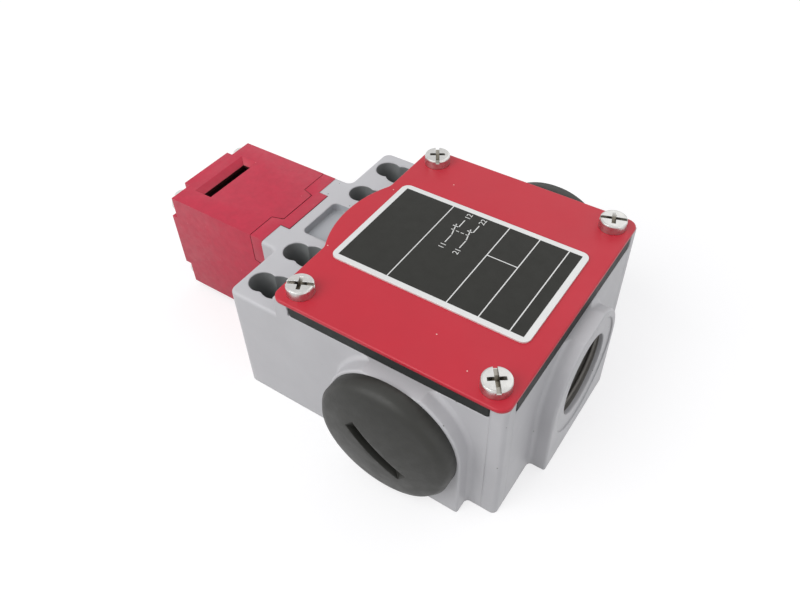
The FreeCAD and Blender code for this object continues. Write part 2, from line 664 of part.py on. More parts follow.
def make_plug(name, side):
    """A screwed blanking plug with a flange, a domed face and a coin slot."""
    root_y = side * (boss_face + S.seat_gap)
    rim_y = root_y + side * (S.plug_flange - S.plug_bevel_rise)
    face_y = root_y + side * S.plug_flange
    top_y = face_y + side * S.plug_dome
    inner_y = root_y - side * S.plug_shank
    seal_y = root_y + side * S.seal_section
    at = (entry_x, S.entry_height)
    face_radius = S.plug_radius - S.plug_bevel_width
    spans = {}
    for part, low, high in (("flange", root_y, rim_y), ("shank", inner_y, root_y),
                            ("groove", root_y, seal_y)):
        spans[part] = (low, high) if side > 0 else (high, low)
    if side > 0:
        bevel = taper(f"{name}_bevel", "y", (S.plug_radius, face_radius), (rim_y, face_y), at)
    else:
        bevel = taper(f"{name}_bevel", "y", (face_radius, S.plug_radius), (face_y, rim_y), at)
    radius = (face_radius * face_radius + S.plug_dome * S.plug_dome) / (2 * S.plug_dome)
    dome = doc.addObject("Part::Sphere", f"{name}_dome")
    dome.Placement = Placement(Vector(), Rotation(Vector(1, 0, 0), -90 * side))
    tie(dome, "Radius", radius)
    dome.setExpression("Angle1", f"asin({((radius - S.plug_dome) / radius).formula})")
    tie(dome, "Placement.Base.x", entry_x)
    tie(dome, "Placement.Base.y", top_y - side * radius)
    tie(dome, "Placement.Base.z", S.entry_height)
    solid = fuse(f"{name}_turned", bevel, dome,
                 rod(f"{name}_flange", "y", S.plug_radius, spans["flange"], at),
                 rod(f"{name}_shank", "y", S.entry_radius - S.running_gap, spans["shank"], at))
    groove = cut(f"{name}_groove",
                 rod(f"{name}_groove_outer", "y", S.seal_radius + S.seal_section * 0.6,
                     spans["groove"], at),
                 rod(f"{name}_groove_inner", "y", S.seal_radius - S.seal_section * 0.6,
                     spans["groove"], at))
    coin = doc.addObject("Part::Cylinder", f"{name}_coin")
    tie(coin, "Radius", S.coin_radius)
    tie(coin, "Height", S.coin_width)
    tilt = -math.radians(S.coin_tilt.value) * side
    across = Vector(math.cos(tilt), 0, math.sin(tilt))
    coin.Placement = Placement(Vector(), Rotation(Vector(0, 0, 1), across))
    centre_y = top_y + side * (S.coin_radius - S.coin_depth)
    half = S.coin_width / 2
    tie(coin, "Placement.Base.x", entry_x - half * across.x)
    tie(coin, "Placement.Base.y", centre_y)
    tie(coin, "Placement.Base.z", S.entry_height - half * across.z)
    return keep(name, cut(name, solid, groove, coin))


def make_plug_seal(name, side):
    """The sealing ring behind a plug's flange."""
    ring = doc.addObject("Part::Torus", name)
    ring.Placement = Placement(Vector(), TURNS["y"])
    tie(ring, "Radius1", S.seal_radius)
    tie(ring, "Radius2", S.seal_section / 2)
    tie(ring, "Placement.Base.x", entry_x)
    tie(ring, "Placement.Base.y", side * (boss_face + S.seat_gap + S.seal_section / 2))
    tie(ring, "Placement.Base.z", S.entry_height)
    return keep(name, ring)


# ---- head ---------------------------------------------------------------------------------

def head_square(name, ends, width):
    """A square block about the plunger's axis."""
    half = length(width) / 2
    return box(name, ends, (-half, half), (axis_height - half, axis_height + half))


def seam_tabs(name, gap):
    """Four tapered tabs on the shell's open edge, one on each side, grown by the gap."""
    tabs = []
    half = S.head_width / 2
    reach = half + gap
    floor = half - S.head_wall_thickness - gap
    tip = S.seam_tab_tip / 2 + gap
    base = S.seam_tab_root / 2 + gap
    far = seam_face + S.seam_tab_length + gap
    for number, side in enumerate((-1, 1)):
        low, high = ordered(side * floor, side * reach)
        for plane, across, offset, rise in (
                ("XY_Plane", 0, axis_height, (low, high)), ("XZ_Plane", axis_height, 0, None)):
            body = new_body(f"{name}_{plane[:2]}_{number}")
            if rise:
                sketch = sketch_on(body, plane, offset + low)
            else:
                sketch = sketch_on(body, plane, -high)
            draw(sketch, [(seam_face - gap - 0.01, across - base), (far, across - tip),
                          (far, across + tip), (seam_face - gap - 0.01, across + base)])
            pad(body, sketch, high - low)
            tabs.append(body)
    return tabs


def funnel(name, turn, mouth):
    """A lead-in with four sloped sides, from its wide mouth down to the key slot."""
    wedge = doc.addObject("Part::Wedge", name)
    wedge.Placement = Placement(Vector(), turn)
    thick, wide = S.slot_thickness / 2, S.slot_width / 2
    for side, size in (
            ("Xmin", -thick - S.funnel_side), ("Xmax", thick + S.funnel_side),
            ("X2min", -thick), ("X2max", thick),
            ("Zmin", -wide - S.funnel_end), ("Zmax", wide + S.funnel_end),
            ("Z2min", -wide), ("Z2max", wide), ("Ymin", 0), ("Ymax", S.funnel_depth)):
        tie(wedge, side, size)
    for axis, place in zip("xyz", mouth):
        tie(wedge, f"Placement.Base.{axis}", place)
    return wedge


def make_head_shell():
    """The square head: rotor cavity, two key slots at right angles, and the screw corners."""
    half = S.head_width / 2
    cross = S.cross_width / 2
    cavity = S.cavity_width / 2
    cavity_height = half - S.head_wall_thickness
    back = end_face + S.head_end_wall
    shell = fuse("shell_outside",
                 head_square("shell_block", (end_face, seam_face), S.head_width),
                 box("shell_cross_up", (end_face - S.cross_rise, end_face + 1), (-cross, cross),
                     (axis_height - half, axis_height + half)),
                 box("shell_cross_over", (end_face - S.cross_rise, end_face + 1), (-half, half),
                     (axis_height - cross, axis_height + cross)),
                 *seam_tabs("shell_tab", 0))
    hollow = box("shell_cavity", (back, seam_face + S.seam_tab_length + 1), (-cavity, cavity),
                 (axis_height - cavity_height, axis_height + cavity_height))
    reach = S.slot_thickness / 2
    slot = S.slot_width / 2
    side_x = cam_x - S.key_reach
    end_z = axis_height - S.key_reach
    side_slot = box("shell_side_slot", (side_x - reach, side_x + reach), (-slot, slot),
                    (axis_height, axis_height + half + 1))
    end_slot = box("shell_end_slot", (end_face - S.cross_rise - 1, back + 1), (-slot, slot),
                   (end_z - reach, end_z + reach))
    funnels = [
        funnel("shell_side_funnel", Rotation(Vector(1, 0, 0), -90),
               (side_x, 0, axis_height + half)),
        funnel("shell_end_funnel", Rotation(Vector(1, 1, 1), -120),
               (end_face - S.cross_rise, 0, end_z)),
    ]
    bores = [rod(f"shell_bore_{n}", "x", S.head_screw_radius + S.fit_gap,
                 (end_face - 1, seam_face + 1), at)
             for n, at in enumerate(head_screw_places, 1)]
    seats = []
    for n, side in enumerate((-1, 1), 1):
        y = ordered(side * cavity, side * (S.axle_length / 2 + S.fit_gap))
        y = (y[0] - 0.01, y[1] + 0.01)
        radius = S.axle_radius + S.running_gap
        seats.append(rod(f"shell_axle_seat_{n}", "y", radius, y, (cam_x, axis_height)))
        seats.append(box(f"shell_axle_way_{n}", (cam_x, seam_face + 1), y,
                         (axis_height - radius, axis_height + radius)))
    return keep("head_shell", cut("head_shell", shell, hollow, side_slot, end_slot, *funnels,
                                  *bores, *seats))


def make_head_base():
    """The head's flange: it keys into the neck, guides the plunger and locks the axle."""
    half = S.head_width / 2
    key = S.key_tab_width / 2
    key_end = neck_face + S.key_tab_length
    sleeve_end = neck_face + S.sleeve_length
    prongs = []
    for n, side in enumerate((-1, 1), 1):
        inner = S.cavity_width / 2 + S.fit_gap
        y = ordered(side * inner, side * S.axle_length / 2)
        thick = S.axle_radius - S.fit_gap
        prongs.append(box(f"base_prong_{n}", (cam_x + S.axle_radius + S.prong_gap, seam_face + 1),
                          y, (axis_height - thick, axis_height + thick)))
    solid = fuse("base_outside",
                 head_square("base_flange", (seam_face + S.seam_gap, neck_face), S.head_width),
                 box("base_key_up", (neck_face - 1, key_end), (-key, key),
                     (axis_height - half, axis_height + half)),
                 box("base_key_over", (neck_face - 1, key_end), (-half, half),
                     (axis_height - key, axis_height + key)),
                 rod("base_sleeve", "x", S.sleeve_radius, (neck_face - 1, sleeve_end), (0, axis_height)),
                 *prongs)
    bores = [rod(f"base_bore_{n}", "x", S.head_screw_radius + S.fit_gap,
                 (seam_face - 1, neck_face + 1), at)
             for n, at in enumerate(head_screw_places, 1)]
    wide = rod("base_wide_bore", "x", S.sleeve_bore,
               (seam_face - 1, sleeve_end - S.sleeve_end), (0, axis_height))
    guide = rod("base_guide", "x", S.plunger_radius + S.running_gap,
                (seam_face - 1, sleeve_end + 1), (0, axis_height))
    return keep("head_base", cut("head_base", solid, wide, guide, *bores,
                                 *seam_tabs("base_notch", S.fit_gap)))


def make_head_screws():
    """Four screws along the head's corners into the neck."""
    screws = []
    for n, (y, z) in enumerate(head_screw_places, 1):
        name = f"head_screw_{n}"
        face = end_face - S.seat_gap
        front = face - S.head_screw_height
        edge = S.head_screw_height / 3
        pin = fuse(f"{name}_turned",
                   rod(f"{name}_drum", "x", S.head_screw_head, (front + edge, face), (y, z)),
                   taper(f"{name}_crown", "x", (S.head_screw_head - edge, S.head_screw_head),
                         (front, front + edge), (y, z)),
                   rod(f"{name}_shank", "x", S.head_screw_radius,
                       (face, neck_face + S.head_screw_bite - S.fit_gap), (y, z)))
        slot = S.head_screw_head / 6
        cross = S.head_screw_head * 0.6
        deep = front + S.head_screw_height * 0.6
        screws.append(cut(name, pin,
                          box(f"{name}_slot", (front, deep), (y - slot, y + slot),
                              (z - cross, z + cross)),
                          box(f"{name}_cross", (front, deep), (y - cross, y + cross),
                              (z - slot, z + slot))))
    return keep("head_screws", group("head_screw_set", *screws))


# ---- cam and plunger ----------------------------------------------------------------------

def cam_profile():
    """The cam's outline about its axis: an involute flank that a flat follower climbs by equal
    steps for equal turns, and a hub."""
    turn = math.radians(sheet.get("cam_turn"))
    stroke, reach, hub = (sheet.get(name) for name in ("plunger_stroke", "cam_reach", "hub_radius"))
    slope = stroke / turn
    flank = []
    for step in range(9):
        angle = -turn * step / 8
        height = reach + slope * angle
        flank.append(Vector(height * math.cos(angle) - slope * math.sin(angle), 0,
                            height * math.sin(angle) + slope * math.cos(angle)))
    curve = Part.BSplineCurve()
    curve.interpolate(flank)
    # Straight sides run from both ends of the flank to the hub, touching it.
    sides = []
    for tip, turn_sign in ((flank[0], 1), (flank[-1], -1)):
        polar = math.atan2(tip.z, tip.x) + turn_sign * math.acos(hub / tip.Length)
        touch = Vector(hub * math.cos(polar), 0, hub * math.sin(polar))
        sides.append((Part.makeLine(tip, touch), touch, polar))
    middle = (sides[0][2] + sides[1][2]) / 2 + math.pi
    arc = Part.Arc(sides[0][1], Vector(hub * math.cos(middle), 0, hub * math.sin(middle)),
                   sides[1][1])
    return Part.Wire(Part.__sortEdges__([curve.toShape(), sides[0][0], arc.toShape(), sides[1][0]]))


def make_cam():
    """The rotor: a central cam between two notched discs that the key's bar turns."""
    thick = sheet.get("cam_thickness")
    cam = doc.addObject("Part::Feature", "cam_lobe")
    shape = Part.Face(cam_profile()).extrude(Vector(0, thick, 0))
    cam.Shape = shape
    tie(cam, "Placement.Base.x", cam_x)
    tie(cam, "Placement.Base.y", -S.cam_thickness / 2)
    tie(cam, "Placement.Base.z", axis_height)
    centre = (cam_x, axis_height)
    half = S.disc_width / 2
    collar = S.cavity_width / 2 - S.rotor_gap
    discs = []
    for n, side in enumerate((-1, 1), 1):
        y = ordered(side * S.cam_thickness / 2, side * half)
        discs.append(rod(f"rotor_disc_{n}", "y", S.disc_radius, y, centre))
    solid = fuse("rotor_outside", cam, *discs,
                 rod("rotor_collar", "y", S.collar_radius, (-collar, collar), centre))
    notch = S.notch_width / 2
    floor = S.disc_radius - S.notch_depth
    notches = [
        box("rotor_notch_side", (cam_x - S.disc_radius - 1, cam_x - floor),
            (-half - 1, half + 1), (axis_height - notch, axis_height + notch)),
        box("rotor_notch_end", (cam_x - notch, cam_x + notch), (-half - 1, half + 1),
            (axis_height - S.disc_radius - 1, axis_height - floor)),
    ]
    bore = rod("rotor_bore", "y", S.axle_radius + S.running_gap, (-collar - 1, collar + 1), centre)
    return keep("cam_rotor", cut("cam_rotor", solid, bore, *notches))


def make_axle():
    """The steel pin that the rotor turns on."""
    half = S.axle_length / 2
    return keep("cam_axle", rod("cam_axle", "y", S.axle_radius, (-half, half),
                                (cam_x, axis_height)))


follower_x = cam_x + S.cam_reach + S.follower_gap
spring_seat = neck_face + S.sleeve_length - S.sleeve_end
carrier_tip = block_start - S.nose_rise
carrier_body = block_start + S.block_wall + S.plunger_stroke + S.end_gap


def make_plunger():
    """The plunger: a flat follower against the cam and a rod through to the contact block."""
    back = follower_x + S.follower_thickness
    edge = S.follower_thickness / 4
    return keep("plunger", fuse(
        "plunger",
        taper("plunger_rim", "x", (S.follower_radius - edge, S.follower_radius),
              (follower_x, follower_x + edge), (0, axis_height)),
        rod("plunger_follower", "x", S.follower_radius, (follower_x + edge, back),
            (0, axis_height)),
        rod("plunger_rod", "x", S.plunger_radius, (back, carrier_tip - S.nose_gap),
            (0, axis_height))))


def make_plunger_seal():
    """The rubber ring round the plunger in the shoulder."""
    start = neck_face + S.sleeve_length + S.nose_gap
    return keep("plunger_seal", cut(
        "plunger_seal",
        rod("plunger_seal_outer", "x", S.seal_outer - S.seat_gap,
            (start, start + S.seal_length - 2 * S.seat_gap), (0, axis_height)),
        rod("plunger_seal_bore", "x", S.plunger_radius + S.running_gap,
            (start - 1, start + S.seal_length + 1), (0, axis_height))))


def coil(name, start, end, radius, wire, turns, y, z):
    """A coil spring along X between two ends, wound about a line at (y, z). Its wire runs in
    short straight steps and has six sides, which keeps the model light."""
    start, end, radius, wire, y, z = (length(size).value for size in (start, end, radius, wire, y, z))
    run = end - start - wire
    steps = 12 * turns
    path = [Vector(radius * math.cos(math.pi * step / 6), radius * math.sin(math.pi * step / 6),
                   run * step / steps) for step in range(steps + 1)]
    ahead = (path[1] - path[0]).normalize()
    out = ahead.cross(Vector(0, 0, 1)).normalize()
    up = ahead.cross(out)
    ring = [path[0] + (out * math.cos(math.pi * corner / 3) + up * math.sin(math.pi * corner / 3))
            * (wire / 2) for corner in range(7)]
    item = doc.addObject("Part::Feature", name)
    item.Shape = Part.makePolygon(path).makePipeShell([Part.makePolygon(ring)], True, False, 1)
    item.Placement = Placement(Vector(start + wire / 2, y, z), TURNS["x"])
    return item


# ---- contact block ------------------------------------------------------------------------

block_bottom = S.floor_thickness + S.block_seat
deck_bottom = block_bottom + S.block_height
deck_top = deck_bottom + S.deck_thickness
block_sides = (-S.block_width / 2, S.block_width / 2)


def bridge_start(pole):
    """Where the pole's moving bridge starts along X with the key out."""
    return carrier_body + S.window_start + pole * S.pole_pitch + S.running_gap


def tab_start(pole):
    """Where the pole's fixed contacts start along X, just clear of the closed bridge."""
    closed = bridge_start(pole) - S.plunger_stroke - S.contact_gap
    return closed - S.tip_height - S.terminal_thickness


def make_contact_base():
    """The block's open tray, with a rail and two cheeks for the carrier and a screwed foot."""
    wall = S.block_wall
    half = S.block_width / 2
    tray = fuse("base_solid",
                box("base_tray", (block_start, block_end), block_sides,
                    (block_bottom, deck_bottom)),
                box("base_foot", (block_end - 1, block_end + S.block_foot),
                    (-S.block_foot_width / 2, S.block_foot_width / 2),
                    (block_bottom, block_bottom + S.block_foot_height)))
    hollow = box("base_hollow", (block_start + wall, block_end - wall),
                 (wall - half, half - wall), (block_bottom + wall, deck_bottom + 1))
    nose_way = rod("base_nose_way", "x", S.nose_radius + S.nose_gap,
                   (block_start - 1, block_start + wall + 1), (0, axis_height))
    holes = [rod(f"base_hole_{n}", "z", S.terminal_screw + S.fit_gap,
                 (0, block_bottom + S.block_foot_height + 1),
                 (block_screw_x, side * S.block_screw_y)) for n, side in enumerate((-1, 1), 1)]
    open_tray = cut("base_open", tray, hollow, nose_way, *holes)
    rail_half = S.carrier_width / 2 + wall
    rail_top = axis_height - S.carrier_height / 2 - S.slide_gap
    rail = box("base_rail", (block_start + wall - 0.5, block_end - wall + 0.5),
               (-rail_half, rail_half), (block_bottom + wall - 0.5, rail_top))
    cheeks = []
    for n, side in enumerate((-1, 1), 1):
        inner = side * (S.carrier_width / 2 + S.slide_gap)
        y = ordered(inner, side * rail_half)
        cheeks.append(box(f"base_cheek_{n}",
                          (carrier_body + S.carrier_length - S.carrier_spring_well,
                           block_end - wall + 0.5),
                          y, (rail_top - 0.5, axis_height + S.carrier_height / 2)))
    return keep("contact_base", fuse("contact_base", open_tray, rail, *cheeks))


def make_contact_cover():
    """The deck over the tray, with ribs between the terminals."""
    rib = S.rib_thickness
    inner = S.terminal_y - S.terminal_width / 2 - S.fit_gap
    top = deck_top + S.rib_height
    ribs = []
    for n, side in enumerate((-1, 1), 1):
        y = ordered(side * (inner - rib), side * inner)
        ribs.append(box(f"deck_rib_{n}", (block_start, tab_start(2)), y, (deck_top - 0.5, top)))
        y = ordered(side * (inner - rib), side * S.block_width / 2)
        for pole in (0, 1, 2):
            x = tab_start(pole) - S.fit_gap
            ribs.append(box(f"deck_wall_{n}_{pole}", (x - rib, x), y, (deck_top - 0.5, top)))
    deck = fuse("deck_solid",
                box("deck_plate", (block_start, block_end), block_sides, (deck_bottom, deck_top)),
                *ribs)
    holes = []
    for pole in (0, 1):
        x = tab_start(pole)
        for n, side in enumerate((-1, 1), 1):
            y = side * S.terminal_y
            wide = S.terminal_width / 2 + S.nose_gap
            holes.append(box(f"deck_slit_{pole}_{n}",
                             (x - S.nose_gap, x + S.terminal_thickness + S.nose_gap),
                             (y - wide, y + wide), (deck_bottom - 1, deck_top + 0.01)))
            holes.append(rod(f"deck_hole_{pole}_{n}", "z", S.terminal_screw + S.nose_gap,
                             (deck_bottom - 1, deck_top + 1), (x + S.terminal_screw_start, y)))
    return keep("contact_cover", cut("contact_cover", deck, *holes))


def make_carrier():
    """The sliding carrier: a nose to the plunger, a window for each bridge, a spring well."""
    half = S.carrier_width / 2
    tall = S.carrier_height / 2
    end = carrier_body + S.carrier_length
    solid = fuse("carrier_solid",
                 box("carrier_block", (carrier_body, end), (-half, half),
                     (axis_height - tall, axis_height + tall)),
                 rod("carrier_nose", "x", S.nose_radius, (carrier_tip, carrier_body + 0.5),
                     (0, axis_height)))
    windows = []
    for pole in (0, 1):
        start = carrier_body + S.window_start + pole * S.pole_pitch
        reach = S.window_height / 2
        windows.append(box(f"carrier_window_{pole}", (start, start + S.window_length),
                           (-half - 1, half + 1), (axis_height - reach, axis_height + reach)))
    well = rod("carrier_well", "x", S.carrier_spring_bore,
               (end - S.carrier_spring_well, end + 1), (0, axis_height))
    return keep("contact_carrier", cut("contact_carrier", solid, well, *windows))


def make_bridge(pole):
    """A moving bridge with a silver button near each end."""
    start = bridge_start(pole)
    half = S.bridge_width / 2
    tall = S.bridge_height / 2
    name = f"bridge_{pole + 1}"
    return keep(name, box(name, (start, start + S.bridge_thickness), (-half, half),
                          (axis_height - tall, axis_height + tall)))


def make_bridge_springs():
    """The spring behind each bridge, inside its window."""
    springs = []
    for pole in (0, 1):
        start = bridge_start(pole) + S.bridge_thickness
        end = carrier_body + S.window_start + pole * S.pole_pitch + S.window_length
        springs.append(coil(f"bridge_spring_{pole + 1}", start + S.seat_gap, end - S.seat_gap,
                            S.bridge_spring_radius, S.bridge_spring_wire, 3, 0, axis_height))
    return keep("bridge_springs", group("bridge_spring_set", *springs))


def make_terminal(number, pole, side):
    """A fixed contact: a plate under the terminal screw, bent down to a silver tip."""
    name = f"terminal_{number}"
    x = tab_start(pole)
    y = side * S.terminal_y
    half = S.terminal_width / 2
    thick = S.terminal_thickness
    solid = fuse(f"{name}_solid",
                 box(f"{name}_plate", (x, x + S.terminal_length), (y - half, y + half),
                     (deck_top + S.seat_gap, deck_top + S.seat_gap + thick)),
                 box(f"{name}_tab", (x, x + thick), (y - half, y + half),
                     (axis_height - S.tip_radius - 0.5, deck_top + S.seat_gap + thick)),
                 rod(f"{name}_tip", "x", S.tip_radius, (x, x + thick + S.tip_height),
                     (y, axis_height)))
    hole = rod(f"{name}_hole", "z", S.terminal_screw + S.nose_gap,
               (deck_top - 1, deck_top + thick + 1), (x + S.terminal_screw_start, y))
    return keep(name, cut(name, solid, hole))


def terminal_places():
    """The centre of each terminal screw."""
    return [(tab_start(pole) + S.terminal_screw_start, side * S.terminal_y)
            for pole in (0, 1) for side in (-1, 1)]


def clamp(name, at, bottom, hole):
    """A square clamp washer."""
    x, y = at
    half = S.clamp_size / 2
    return cut(name,
               box(f"{name}_square", (x - half, x + half), (y - half, y + half),
                   (bottom, bottom + S.clamp_thickness)),
               rod(f"{name}_hole", "z", hole, (bottom - 1, bottom + 2), (x, y)))


def make_terminal_fasteners():
    """The four terminal screws and the square clamps under them."""
    plate_top = deck_top + S.seat_gap + S.terminal_thickness + S.seat_gap
    clamps = [clamp(f"clamp_{n}", at, plate_top, S.terminal_screw + S.nose_gap)
              for n, at in enumerate(terminal_places(), 1)]
    keep("terminal_clamps", group("clamp_set", *clamps))
    head_z = plate_top + S.clamp_thickness + S.seat_gap
    screws = [crossed_screw(f"terminal_screw_{n}", at, head_z, S.terminal_head,
                            S.terminal_head_height, S.terminal_screw,
                            S.clamp_thickness + S.terminal_screw_length)
              for n, at in enumerate(terminal_places(), 1)]
    keep("terminal_screws", group("terminal_screw_set", *screws))


def make_block_screws():
    """Two screws through the block's foot into the casing's floor."""
    head_z = block_bottom + S.block_foot_height + S.seat_gap
    screws = [crossed_screw(f"block_screw_{n}", (block_screw_x, side * S.block_screw_y), head_z,
                            S.terminal_head, S.terminal_head_height, S.terminal_screw,
                            head_z - 1)
              for n, side in enumerate((-1, 1), 1)]
    return keep("block_screws", group("block_screw_set", *screws))


def make_earth_terminal():
    """The protective earth screw and clamp on a boss of the casing."""
    at = (earth_x, S.earth_y)
    top = S.floor_thickness + S.earth_boss_height + S.seat_gap
    keep("earth_clamp", clamp("earth_clamp", at, top, S.earth_screw_radius + S.nose_gap))
    keep("earth_screw", crossed_screw(
        "earth_screw", at, top + S.clamp_thickness + S.seat_gap, S.earth_head_radius,
        S.earth_head_height, S.earth_screw_radius, S.clamp_thickness + S.earth_boss_height))


def make_springs():
    """The plunger's return spring and the carrier's."""
    keep("plunger_spring", coil(
        "plunger_spring", follower_x + S.follower_thickness + S.seat_gap, spring_seat - S.seat_gap,
        S.plunger_spring_radius, S.plunger_spring_wire, 4, 0, axis_height))
    keep("carrier_spring", coil(
        "carrier_spring", carrier_body + S.carrier_length - S.carrier_spring_well + S.seat_gap,
        block_end - S.block_wall - S.seat_gap,
        S.carrier_spring_radius, S.carrier_spring_wire, 5, 0, axis_height))


make_housing()
make_cover()
make_gasket()
make_cover_screws()
make_rating_plate()
for side, name in ((-1, "near"), (1, "far")):
    make_plug(f"plug_{name}", side)
    make_plug_seal(f"plug_seal_{name}", side)
make_head_shell()
make_head_base()
make_head_screws()
make_cam()
make_axle()
make_plunger()
make_plunger_seal()
make_contact_base()
make_contact_cover()
make_carrier()
for pole in (0, 1):
    make_bridge(pole)
    make_terminal(f"{pole + 1}1", pole, -1)
    make_terminal(f"{pole + 1}2", pole, 1)
make_bridge_springs()
make_terminal_fasteners()
make_block_screws()
make_earth_terminal()
make_springs()

doc.recompute()
for item in doc.Objects:
    if "Invalid" in item.State or "Error" in item.State:
        raise RuntimeError(f"{item.Name} failed: {item.State}")
for name, item in PARTS.items():
    if item.Shape.isNull() or not item.Shape.isValid():
        raise RuntimeError(f"{name} has no valid shape")

os.makedirs("parts", exist_ok=True)
for name, item in PARTS.items():
    item.Shape.exportStep(f"parts/{name}.step")
    print(name, len(item.Shape.Solids), round(item.Shape.Volume, 1))
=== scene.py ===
import math

import bmesh
import bpy
from mathutils import Matrix, Vector


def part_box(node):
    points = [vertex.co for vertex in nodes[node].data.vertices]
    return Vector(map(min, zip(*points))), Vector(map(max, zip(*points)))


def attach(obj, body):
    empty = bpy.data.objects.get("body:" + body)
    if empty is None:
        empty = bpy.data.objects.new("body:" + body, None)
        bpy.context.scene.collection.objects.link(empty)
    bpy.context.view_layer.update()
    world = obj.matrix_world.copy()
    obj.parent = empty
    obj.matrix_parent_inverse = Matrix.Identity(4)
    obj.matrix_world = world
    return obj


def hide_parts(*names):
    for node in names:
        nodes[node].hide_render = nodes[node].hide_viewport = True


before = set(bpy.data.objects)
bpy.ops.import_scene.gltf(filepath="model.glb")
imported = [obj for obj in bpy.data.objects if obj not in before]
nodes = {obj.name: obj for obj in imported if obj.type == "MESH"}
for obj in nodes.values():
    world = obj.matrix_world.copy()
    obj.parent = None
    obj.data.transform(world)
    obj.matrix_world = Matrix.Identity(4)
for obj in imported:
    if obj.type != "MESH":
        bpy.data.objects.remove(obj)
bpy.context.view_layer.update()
scene = bpy.context.scene
scene.view_settings.view_transform = "Standard"
MM = 0.001

# ---- studio -------------------------------------------------------------------------------
# The switch lies on its back on a plain pale table, under one broad soft lamp on the near side
# and weak fill from the room. The camera looks down on it from the near tail corner.

AZIMUTH, ELEVATION, ROLL = 35.17, 45.68, -1.88
EYE, FOCAL_LENGTH = (0.06285, -0.10293, 0.14254), 33.975
AIM, TAIL_AIM = (0, 0, 0.01), (0.03, 0, 0.02)
SKY_STRENGTH, SKY_TINT, GLOW_TINT = 0.55, (0.96, 0.97, 1.0), (1, 0.995, 1)
TABLE_REACH, TABLE_SHADE, TABLE_LIFT, TABLE_DROP = 3, 0.42, 0.65, 0.00005

sight = bpy.data.cameras.new("sight")
sight.lens = FOCAL_LENGTH
sight.sensor_width = 36
sight.clip_start = 0.01
camera = bpy.data.objects.new("camera", sight)
azimuth, elevation, roll = (math.radians(angle) for angle in (AZIMUTH, ELEVATION, ROLL))
level = Vector((math.cos(azimuth), math.sin(azimuth), 0))
back = Vector((math.sin(azimuth) * math.cos(elevation),
               -math.cos(azimuth) * math.cos(elevation), math.sin(elevation)))
upright = back.cross(level)
right = level * math.cos(roll) + upright * math.sin(roll)
above = upright * math.cos(roll) - level * math.sin(roll)
camera.matrix_world = Matrix.Translation(EYE) @ Matrix(
    (right, above, back)).transposed().to_4x4()
scene.collection.objects.link(camera)
scene.camera = camera


def shine_on(name, place, target, size, power):
    """A square soft lamp that faces the target."""
    panel = bpy.data.lights.new(name, "AREA")
    panel.size = size
    panel.energy = power
    lamp = bpy.data.objects.new(name, panel)
    lamp.location = place
    lamp.rotation_euler = (Vector(target) - Vector(place)).to_track_quat("-Z", "Y").to_euler()
    scene.collection.objects.link(lamp)


shine_on("window_lamp", (-0.25, -0.44, 0.50), AIM, 0.55, 2.7)
shine_on("room_lamp", (0.15, 0.55, 0.55), AIM, 0.8, 0.9)
shine_on("tail_lamp", (0.75, -0.10, 0.30), TAIL_AIM, 0.6, 0.72)


def seen_directly(tree):
    """A value of 1 for rays from the eye, and for those that metal reflects to it."""
    rays = tree.nodes.new("ShaderNodeLightPath")
    total = rays.outputs["Is Camera Ray"]
    for kind in ("Is Glossy Ray", "Is Transmission Ray"):
        add = tree.nodes.new("ShaderNodeMath")
        add.operation = "MAXIMUM"
        tree.links.new(total, add.inputs[0])
        tree.links.new(rays.outputs[kind], add.inputs[1])
        total = add.outputs[0]
    return total


room = bpy.data.worlds.new("room")
room.use_nodes = True
sky = room.node_tree
sky.nodes.clear()
dim = sky.nodes.new("ShaderNodeBackground")
dim.inputs["Color"].default_value = (*SKY_TINT, 1)
dim.inputs["Strength"].default_value = SKY_STRENGTH
plain = sky.nodes.new("ShaderNodeBackground")
plain.inputs["Color"].default_value = (1, 1, 1, 1)
both = sky.nodes.new("ShaderNodeMixShader")
sky.links.new(seen_directly(sky), both.inputs["Fac"])
sky.links.new(dim.outputs[0], both.inputs[1])
sky.links.new(plain.outputs[0], both.inputs[2])
sky.links.new(both.outputs[0], sky.nodes.new("ShaderNodeOutputWorld").inputs["Surface"])
scene.world = room

table_mesh = bpy.data.meshes.new("table")
table_mesh.from_pydata(
    [(x * TABLE_REACH, y * TABLE_REACH, 0) for x, y in ((-1, -1), (1, -1), (1, 1), (-1, 1))],
    [], [(0, 1, 2, 3)])
table = bpy.data.objects.new("table", table_mesh)
table.location.z = -TABLE_DROP
scene.collection.objects.link(table)
paper = bpy.data.materials.new("paper")
paper.use_nodes = True
tree = paper.node_tree
tree.nodes.clear()
matt = tree.nodes.new("ShaderNodeBsdfDiffuse")
matt.inputs["Color"].default_value = (TABLE_SHADE, TABLE_SHADE, TABLE_SHADE, 1)
glow = tree.nodes.new("ShaderNodeEmission")
glow.inputs["Color"].default_value = (*GLOW_TINT, 1)
lift = tree.nodes.new("ShaderNodeMath")
lift.operation = "MULTIPLY"
lift.inputs[1].default_value = TABLE_LIFT
tree.links.new(seen_directly(tree), lift.inputs[0])
tree.links.new(lift.outputs[0], glow.inputs["Strength"])
total = tree.nodes.new("ShaderNodeAddShader")
tree.links.new(matt.outputs[0], total.inputs[0])
tree.links.new(glow.outputs[0], total.inputs[1])
tree.links.new(total.outputs[0], tree.nodes.new("ShaderNodeOutputMaterial").inputs["Surface"])
table_mesh.materials.append(paper)
